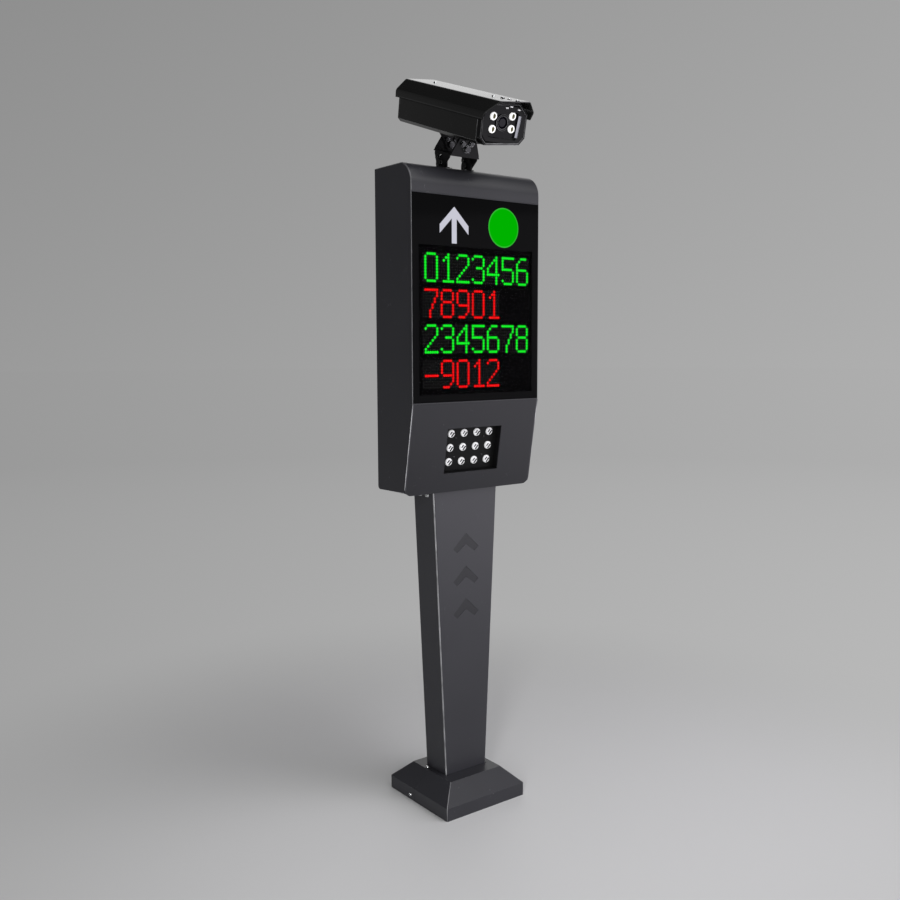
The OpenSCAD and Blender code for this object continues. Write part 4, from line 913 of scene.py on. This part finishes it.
def make_materials():
    """Makes every finish of the pieces."""
    coats = settings("coats")
    display = settings("display")
    sign = settings("sign")
    dust = (0.05, 0.05, 0.05)
    powder_finish("charcoal_coat", 1.0, 0.3)
    # A darker copy of the charcoal: painted shade on the slanted panel
    powder_finish("panel_coat", 0.72, 0.2)
    # A paler copy of the charcoal: painted light on the column and base
    powder_finish("pedestal_coat", 1.22, 0.33)
    coat_finish("matt_black", coats.black, 1300.0, dust, (0.4, 0.5), 0.1, 0.12)
    coat_finish("satin_black_coat", coats.satin, 1300.0, dust, (0.12, 0.2), 0.05, 0.4)
    # Painted highlights along the folds of the charcoal and black coats
    painted_highlight_finish("worn_charcoal", coats.charcoal, coats.worn, (0.86, 0.90))
    painted_highlight_finish("worn_column", coats.charcoal, shade(coats.worn, 0.6))
    painted_highlight_finish("worn_black", coats.black, coats.worn_black)
    # Pale finish of the camera's bars: painted glints
    painted_highlight_finish("rubbed_bolt", (0.5, 0.5, 0.5), (0.95, 0.95, 0.97))
    metal_finish("dull_zinc", (0.42, 0.43, 0.44), (0.34, 0.5))
    metal_finish("bright_plate", (0.62, 0.63, 0.64), (0.16, 0.3))
    metal_finish("dark_bolt", (0.035, 0.035, 0.036), (0.2, 0.34))
    metal_finish("mill_aluminium", (0.62, 0.63, 0.64), (0.3, 0.42), (1.0, 1.0, 8.0))
    moulded_finish("black_moulding", (0.004, 0.004, 0.0044), (0.42, 0.58), shine=0.15)
    moulded_finish("chevron_lens", (0.02, 0.02, 0.023), (0.36, 0.46), 0.05, shine=0.25)
    moulded_finish("foam_rubber", (0.018, 0.018, 0.018), (0.75, 0.9), 0.4, 700.0)
    for name in ("dark_dot", "module_face"):
        moulded_finish(name, (0.0012, 0.0012, 0.0012), (0.5, 0.6), shine=0.02)
    # Dark bars on the field lenses: painted reflection
    moulded_finish("lens_chip", (0.003, 0.003, 0.003), (0.5, 0.6), shine=0.03)
    moulded_finish("camera_phosphor", (0.075, 0.07, 0.025), (0.3, 0.4), shine=0.15)
    moulded_finish("front_glass", (0.003, 0.003, 0.0035), (0.05, 0.09), 0.0, shine=0.08)
    # Darker, dull charcoal under the front's bend: painted shade
    moulded_finish("dull_heel", shade(coats.charcoal, 0.4), (0.8, 0.9), shine=0.0)
    moulded_finish("dark_washer", (0.01, 0.01, 0.01), (0.8, 0.9), shine=0.0)
    lit_finish("lit_green_dot", display.green, display.glow)
    lit_finish("lit_red_dot", display.red, display.glow)
    # Unlit dots glow faintly as painted light for the light they catch.
    lit_finish("unlit_dot", (0.16, 0.163, 0.16), 1.0)
    lit_finish("sign_film", sign.colour, 0.9, 25.0, 0.94, 1.04, 0.05)
    # The strip beside the camera lens glows as painted light.
    lit_finish("pale_strip", (0.44, 0.44, 0.50), 0.85, 60.0, 0.9, 1.05)
    lamp_finish(sign.lamp, *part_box("lamp_lens"))
    window_finish(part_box("led_module_1")[0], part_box("led_module_4")[1])
    # The lenses' glow is painted light for the light they catch.
    clear_finish("frosted_lens", (0.62, 0.62, 0.63), (0.12, 0.22), 0.36)
    clear_finish("camera_lamp", (0.85, 0.85, 0.84), (0.2, 0.3), 0.5)
    board_finish("green_board", (0.012, 0.075, 0.03), (0.05, 0.16, 0.07))
    board_finish("black_board", (0.004, 0.004, 0.0045), (0.008, 0.008, 0.008), 0.06)
    coated_glass_finish()


class TERMINAL_OT_sheet_metal(bpy.types.Operator):
    """Rounds the folds of the cabinet, column, base and door and gives them the charcoal coat, paler as
    painted light on the column and base, with painted highlights on the folds
    """

    bl_idname = "terminal.sheet_metal"
    bl_label = "Sheet metal"

    def execute(self, context):
        coats = settings("coats")
        slot = coat = "charcoal_coat"
        # Pale edge finishes: painted highlights on the folds and front corners
        edge = "worn_charcoal"
        shell = finished_copy("cabinet_shell", coat, slot, coats.fold, weigh_lip, edge=edge)
        mark_front(shell.data)
        finished_copy("cabinet_sides", coat, slot, coats.side, weigh_side, 3, edge, clamp=False)
        # The column and base take the paler charcoal as painted light.
        finished_copy("column_shell", "pedestal_coat", slot, edge="worn_column", mark=mark_corners)
        finished_copy("display_frame", coat, slot, edge=edge, mark=mark_corners)
        finished_copy("column_rear_cover", "pedestal_coat", slot, coats.fold, weigh_folds, edge=edge)
        finished_copy("base_cover_front", "pedestal_coat", slot, coats.fold, weigh_folds,
                      edge="worn_column", mark=mark_ridges)
        finished_copy("base_cover_rear", "pedestal_coat", slot, coats.fold, weigh_folds, edge=edge)
        finished_copy("rear_door", coat, slot, coats.fold, weigh_folds, edge=edge)
        coat_nodes(coat, "cabinet_floor", "cabinet_rear", "door_frame")
        coat_nodes("matt_black", "spigot")
        coat_nodes("dull_zinc", "base_plate", "foot_gussets", "module_rails", "equipment_plate")
        coat_nodes("foam_rubber", "door_gasket")
        return {"FINISHED"}


class TERMINAL_OT_fasteners(bpy.types.Operator):
    """Finishes the screws, bolts, hinges and lock"""

    bl_idname = "terminal.fasteners"
    bl_label = "Fasteners"

    def execute(self, context):
        rounding = settings("coats").bolt
        for node in ("column_screws", "base_cover_screws", "spigot_bolts",
                     "hinge_pins", "lock_plug", "shield_screws"):
            finished_copy(node, "bright_plate", "bright_steel", rounding)
        for node in ("pan_bolts", "tilt_bolts", "lean_bolts"):
            finished_copy(node, "dark_bolt", "bright_steel", BOLT_RIM * rounding, edge="bright_plate")
        for node in ("hinge_fixed_leaves", "hinge_door_leaves", "lock_barrel"):
            finished_copy(node, "dull_zinc", "zinc_steel", rounding)
        coat_nodes("bright_plate", "shield_posts")
        return {"FINISHED"}


def text_dots(display):
    """Splits the display's dots into green, red, unlit and dark sets."""
    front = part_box("led_module_1")[0].y - display.dot_rise / 2
    sets = {"green": [], "red": [], "unlit": [], "dark": []}
    rows = (display.row_1, display.row_2, display.row_3, display.row_4)
    for r in range((len(rows) - 1) * CELL_ROWS + GLYPH_ROWS):
        row, line = divmod(r, CELL_ROWS)
        hue = "green" if row % 2 == 0 else "red"
        for c in range(TEXT_CELLS * CELL_COLUMNS):
            cell = c // CELL_COLUMNS
            column = c % CELL_COLUMNS - 1
            point = (display.first_dot[0] + c * display.pitch_across, front,
                     display.first_dot[1] - r * display.pitch_up)
            if line >= GLYPH_ROWS or cell >= len(rows[row]):
                sets["dark"].append(point)
            elif column >= 0 and DIGITS[rows[row][cell]].split()[line][column] == "#":
                sets[hue].append(point)
            else:
                sets["unlit"].append(point)
    return sets


class TERMINAL_OT_display(bpy.types.Operator):
    """Sets the dot modules behind the smoked window and lights the digits"""

    bl_idname = "terminal.display"
    bl_label = "Display"

    def execute(self, context):
        display = settings("display")
        finished_copy("display_window", "smoked_window", "smoked_acrylic")
        coat_nodes("module_face", "led_module_1", "led_module_2", "led_module_3", "led_module_4")
        for name, points in text_dots(display).items():
            lit = name in ("green", "red")
            obj = grown(f"dots_{name}", points, "display_dots", {
                "Diameter": display.dot if lit else display.unlit,
                "Rise": display.dot_rise,
                "Material": MATERIALS[f"lit_{name}_dot" if lit else f"{name}_dot"]})
            settle(obj, "station", "black_plastic")
        return {"FINISHED"}


class TERMINAL_OT_sign(bpy.types.Operator):
    """Makes the plain arrow film and the round green lamp above the digits"""

    bl_idname = "terminal.sign"
    bl_label = "Arrow and lamp"

    def execute(self, context):
        sign = settings("sign")
        half = sign.width / 2
        top = sign.height / 2
        bar = sign.stroke / 2
        arm = sign.stroke * math.sqrt(2)
        right = ((half, top - half), (half, top - half - arm), (bar, top - arm - bar), (bar, -top))
        mesh = plate_mesh("arrow_film", ((0.0, top), *mirrored(right)), sign.film)
        mesh.materials.append(MATERIALS["sign_film"])
        turn = basis(FRONT).to_4x4()
        turn.translation = (sign.centre[0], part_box("display_window")[0].y, sign.centre[1])
        mesh.transform(turn)
        film = link(bpy.data.objects.new("arrow_film", mesh))
        rounded(film, sign.film / 3)
        settle(smoothed(baked(film)), "station", "clear_lens")
        finished_copy("lamp_lens", "signal_green", "green_lens", settings("coats").plate)
        coat_nodes("black_moulding", "lamp_cup")
        coat_nodes("green_board", "lamp_board")
        return {"FINISHED"}


class TERMINAL_OT_lamp_field(bpy.types.Operator):
    """Sets twelve lenses with dark bars of painted reflection on the board of the lamp field"""

    bl_idname = "terminal.lamp_field"
    bl_label = "Lamp field"

    def execute(self, context):
        lamps = settings("lamps")
        normal, level = facing("light_board", FRONT)
        turn = basis(normal)
        points, width = on_face("light_lenses", normal, level)
        radius = width / 2 * lamps.lens_share
        rise = lamps.lens_rise
        lenses = turned("field_lenses", FIELD_LENS, radius, rise, LENS_SIDES)
        copied(lenses, points, turn, "frosted_lens", "station", "clear_lens", "light_lenses")
        lean = turn @ Matrix.Rotation(BAR_LEAN, 3, "Z")
        for name, side, reach, share in FIELD_BARS:
            bar = bar_mesh(name, lamps.slash / 2 * share, radius * reach, rise * BAR_DEPTH)
            aside = lean @ Vector((radius * side, 0.0, rise * BAR_LEVEL))
            copied(bar, [p + aside for p in points], lean, "lens_chip", "station", "black_plastic")
        self.board_screws(points, turn, lamps.board_screw / 2)
        finished_copy("light_tray", "black_moulding", "black_plastic", settings("coats").bolt)
        coat_nodes("black_board", "light_board")
        coat_nodes("mill_aluminium", "light_heatsink")
        return {"FINISHED"}

    def board_screws(self, points, turn, radius):
        """Screws in the gaps between the outer lenses."""
        places = [turn.transposed() @ p for p in points]
        left, right = min(p.x for p in places), max(p.x for p in places)
        low, high = min(p.y for p in places), max(p.y for p in places)
        spots = [turn @ Vector((left + (right - left) * u, low + (high - low) * v, places[0].z))
                 for u, v in BOARD_SPOTS]
        screws = turned("field_screws", BOARD_SCREW, radius, radius, SCREW_SIDES)
        copied(screws, spots, turn, "dark_bolt", "station", "bright_steel")


class TERMINAL_OT_inside(bpy.types.Operator):
    """Finishes the chevrons and what is inside the column and cabinet"""

    bl_idname = "terminal.inside"
    bl_label = "Chevrons and inside"

    def execute(self, context):
        rounding = settings("coats").bolt
        finished_copy("chevron_lens", "chevron_lens", "smoked_acrylic", rounding)
        coat_nodes("green_board", "chevron_board")
        finished_copy("power_supply", "mill_aluminium", "bare_aluminium", rounding)
        finished_copy("control_board", "green_board", "circuit_board")
        finished_copy("terminal_rail", "dull_zinc", "zinc_steel", rounding)
        return {"FINISHED"}


class TERMINAL_OT_bracket(bpy.types.Operator):
    """Rounds the plates of the camera's bracket and gives them the black coat"""

    bl_idname = "terminal.bracket"
    bl_label = "Bracket"

    def execute(self, context):
        for node in ("bracket_base", "bracket_cross", "bracket_saddle"):
            finished_copy(node, "matt_black", "black_coat", settings("coats").plate)
        return {"FINISHED"}


class TERMINAL_OT_camera(bpy.types.Operator):
    """Finishes the camera's housing, shield, bezel, lens and four lamps"""

    bl_idname = "terminal.camera"
    bl_label = "Camera"

    def execute(self, context):
        coats = settings("coats")
        satin = "satin_black_coat"
        plastic = ("black_moulding", "black_plastic")
        finished_copy("sun_shield", satin, "black_coat", coats.shield, weigh_shield, 4, clamp=False)
        for node, coat in (("camera_body", satin), ("camera_bezel", "matt_black"), ("rear_cap", satin)):
            # The black edge finish paints highlights on the folds and the barrel's rim.
            finished_copy(node, coat, "black_coat", coats.fold, weigh_folds, edge="worn_black")
        finished_copy("lens_barrel", *plastic, BARREL_RIM * coats.bolt, edge="worn_black")
        finished_copy("cable_glands", *plastic, coats.bolt)
        finished_copy("lens_glass", "coated_lens", "front_glass")
        coat_nodes("front_glass", "camera_glass")
        coat_nodes("green_board", "camera_core")
        self.lamps()
        return {"FINISHED"}

    def lamps(self):
        """Sets the four lamps with their crescents on the camera's glass."""
        normal, level = facing("camera_glass", CAMERA_FRONT)
        points = on_face("camera_lamps", normal, level)[0]
        middle = sum(points, Vector()) / len(points)
        up = max((p - middle for p in points), key=lambda v: v.z)
        turn = basis(normal, Vector((0.0, up.y, up.z)).normalized())
        rise = settings("lamps").camera_rise
        radius = settings("lamps").camera_lamp / 2
        lenses = turned("camera_lamp_lenses", CAMERA_LENS, radius, rise, LENS_SIDES)
        copied(lenses, points, turn, "camera_lamp", "camera", "clear_lens", "camera_lamps")
        angles = [math.radians(a) for a in CRESCENT_ANGLES]
        outline = [(share * radius * math.cos(a), CRESCENT_UP * radius * math.sin(a))
                   for share, way in ((CRESCENT_OUT, 1), (CRESCENT_IN, -1)) for a in angles[::way]]
        crescents = plate_mesh("camera_crescents", outline, CRESCENT_FILM)
        tops = [p + normal * rise for p in points]
        copied(crescents, tops, turn, "camera_phosphor", "camera", "clear_lens")
        self.front(middle, turn)

    def front(self, middle, turn):
        """Adds the camera's flat rim, a pale strip that glows as painted light, bright bars as painted
        glints, and the screws of its shield.
        """
        recess = settings("lamps").recess
        strip = settings("lamps").strip
        low, high = RIM_INNER[1:3]
        edge = (low, (low[0] + strip, low[1]), (high[0] + strip, high[1]), high)
        ring = ring_mesh("camera_rim", mirrored(RIM_OUTER), mirrored(RIM_INNER), RIM_DEPTH)
        # The upright strip beside the lens glows as painted light.
        upright = plate_mesh("camera_strip", edge, recess - STRIP_GAP)
        for mesh, lift, finish, slot in (
                (ring, recess - RIM_SINK, "matt_black", "black_coat"),
                (upright, 0.0, "pale_strip", "clear_lens")):
            mesh.materials.append(MATERIALS[finish])
            place = middle + turn @ Vector((0.0, 0.0, lift))
            mesh.transform(Matrix.Translation(place) @ turn.to_4x4())
            settle(link(bpy.data.objects.new(mesh.name, mesh)), "camera", slot)
        # Bright bars on the rim: painted glints
        bars = bar_mesh("camera_bars", *BAR_HALF, RIM_DEPTH)
        spots = [middle + turn @ Vector((u, v, recess)) for u, v in BAR_PLACES]
        copied(bars, spots, turn, "rubbed_bolt", "camera", "bright_steel")
        upwards = turn @ Matrix.Rotation(-math.pi / 2, 3, "X")
        places = [middle + turn @ Vector((u, SHIELD_RISE, out)) for u, out in SHIELD_SCREWS]
        for name, radius, rim, top, finish in SHIELD_PARTS:
            head = turned(name, ((1.0, 0.0), (1.0, rim), (0.0, top)), radius * MM, MM, SCREW_SIDES)
            copied(head, places, upwards, finish, "camera", "bright_steel")


def way_back(azimuth, elevation):
    """Direction from the terminal towards a lamp or the camera."""
    level = math.cos(elevation)
    return Vector((math.sin(azimuth) * level, -math.cos(azimuth) * level, math.sin(elevation)))


def soft_lamp(name, azimuth, elevation, distance, size, power, height, colour):
    """A rectangular studio lamp that faces the terminal's middle line at a height."""
    light = bpy.data.lights.new(name, "AREA")
    light.shape = "RECTANGLE"
    light.size, light.size_y = size
    light.energy = power
    light.color = colour
    back = way_back(math.radians(azimuth), math.radians(elevation))
    lamp = link(bpy.data.objects.new(name, light))
    lamp.location = Vector((0.0, 0.0, height)) + back * distance
    lamp.rotation_euler = back.to_track_quat("Z", "Y").to_euler()


class TERMINAL_OT_stage(bpy.types.Operator):
    """Sets the pale floor, the studio light and the camera"""

    bl_idname = "terminal.stage"
    bl_label = "Stage"

    def execute(self, context):
        stage = settings("stage")
        scene = context.scene
        scene.view_settings.view_transform = "Standard"
        self.floor(stage)
        self.world(stage, scene)
        for lamp in STUDIO_LAMPS:
            soft_lamp(*lamp)
        self.camera(stage, scene)
        return {"FINISHED"}

    def floor(self, stage):
        """Makes the floor, which turns into the tone of the studio away from the terminal."""
        finish = Finish("pale_floor")
        clouds = finish.grain(*FLOOR_GRAIN)["Clouds"]
        finish.done(
            Base_Color=finish.tint(clouds, stage.floor, *FLOOR_TONES),
            Roughness=0.6, Specular_IOR_Level=0.2)
        fade = finish.spread(finish.vectors("LENGTH", finish.place), 0.0, 1.0, *FLOOR_FADE, True)
        ahead = finish.vectors("SUBTRACT", finish.place, (stage.station[0], stage.station[1], 0.0))
        length = finish.vectors("LENGTH", ahead)
        soft = finish.add("ShaderNodeVectorMath", {
            0: finish.vectors("NORMALIZE", ahead),
            "Scale": finish.spread(length, 0.0, 1.0, 0.0, HORIZON_SOFT, True)}, operation="SCALE")
        seen = finish.add("ShaderNodeLightPath").outputs["Is Camera Ray"]
        tone = finish.group("studio_tone", {"Way": soft.outputs["Vector"], "Plain": seen})["Tone"]
        glow = finish.add("ShaderNodeEmission", {
            "Color": tone, "Strength": finish.spread(length, *FLOOR_GLOW, *GLOW_REACH)})
        blend = finish.add("ShaderNodeMixShader", {
            0: fade, 1: finish.shader.outputs[0], 2: glow.outputs[0]})
        finish.fill(finish.tree.nodes["Material Output"].inputs["Surface"], blend.outputs[0])
        mesh = bpy.data.meshes.new("studio_floor")
        work = bmesh.new()
        bmesh.ops.create_circle(work, cap_ends=True, segments=FLOOR_SIDES, radius=FLOOR_RADIUS)
        work.to_mesh(mesh)
        work.free()
        mesh.materials.append(finish.material)
        link(bpy.data.objects.new("studio_floor", mesh))

    def world(self, stage, scene):
        """Makes the studio's tone, with a pale patch that only the pieces see."""
        world = bpy.data.worlds.new("studio_sky")
        world.use_nodes = True
        scene.world = world
        nodes = Nodes(world.node_tree)
        way = nodes.add("ShaderNodeTexCoord").outputs["Generated"]
        seen = nodes.add("ShaderNodeLightPath").outputs["Is Camera Ray"]
        tone = nodes.group("studio_tone", {"Way": way, "Plain": seen})["Tone"]
        facing_rim = nodes.vectors("DOT_PRODUCT", way, stage.rim)
        patch = nodes.spread(facing_rim, 0.0, PATCH_GLOW, *PATCH_EDGE, True)
        total = nodes.maths("MULTIPLY_ADD", patch, nodes.maths("SUBTRACT", 1.0, seen), tone)
        nodes.fill(nodes.tree.nodes["Background"].inputs["Color"], total)

    def camera(self, stage, scene):
        """Sets the camera where the photo was taken from."""
        data = bpy.data.cameras.new("photo_camera")
        data.sensor_fit = "HORIZONTAL"
        data.sensor_width = SENSOR_MM
        data.lens = SENSOR_MM * stage.focal / PICTURE_PIXELS
        data.clip_end = VIEW_END
        back = way_back(stage.azimuth, stage.pitch)
        right = Vector((0.0, 0.0, 1.0)).cross(back).normalized()
        up = back.cross(right)
        c = math.cos(stage.roll)
        s = math.sin(stage.roll)
        axes = Matrix((c * right + s * up, c * up - s * right, back)).transposed()
        camera = link(bpy.data.objects.new("photo_camera", data))
        camera.matrix_world = Matrix.Translation(stage.station) @ axes.to_4x4()
        scene.camera = camera


class TERMINAL_PT_panel(bpy.types.Panel):
    """Lists the pieces and their settings"""

    bl_idname = "TERMINAL_PT_panel"
    bl_label = "Lane terminal"
    bl_space_type = "VIEW_3D"
    bl_region_type = "UI"
    bl_category = "Terminal"

    def draw(self, context):
        for operator in OPERATORS:
            self.layout.operator(operator.bl_idname)
        for name, group in SETTINGS.items():
            box = self.layout.box()
            box.label(text=group.__doc__)
            for prop in group.__annotations__:
                box.prop(getattr(context.scene, name), prop)


OPERATORS = (
    TERMINAL_OT_sheet_metal, TERMINAL_OT_fasteners, TERMINAL_OT_display,
    TERMINAL_OT_sign, TERMINAL_OT_lamp_field, TERMINAL_OT_inside,
    TERMINAL_OT_bracket, TERMINAL_OT_camera, TERMINAL_OT_stage)


def register():
    for cls in (*SETTINGS.values(), *OPERATORS, TERMINAL_PT_panel):
        bpy.utils.register_class(cls)
    for name, group in SETTINGS.items():
        setattr(bpy.types.Scene, name, bpy.props.PointerProperty(type=group))


def unregister():
    for name in SETTINGS:
        delattr(bpy.types.Scene, name)
    for cls in reversed((*SETTINGS.values(), *OPERATORS, TERMINAL_PT_panel)):
        bpy.utils.unregister_class(cls)


def main():
    register()
    make_materials()
    bpy.ops.terminal.sheet_metal()
    bpy.ops.terminal.fasteners()
    bpy.ops.terminal.display()
    bpy.ops.terminal.sign()
    bpy.ops.terminal.lamp_field()
    bpy.ops.terminal.inside()
    bpy.ops.terminal.bracket()
    bpy.ops.terminal.camera()
    bpy.ops.terminal.stage()


if __name__ == "__main__":
    main()
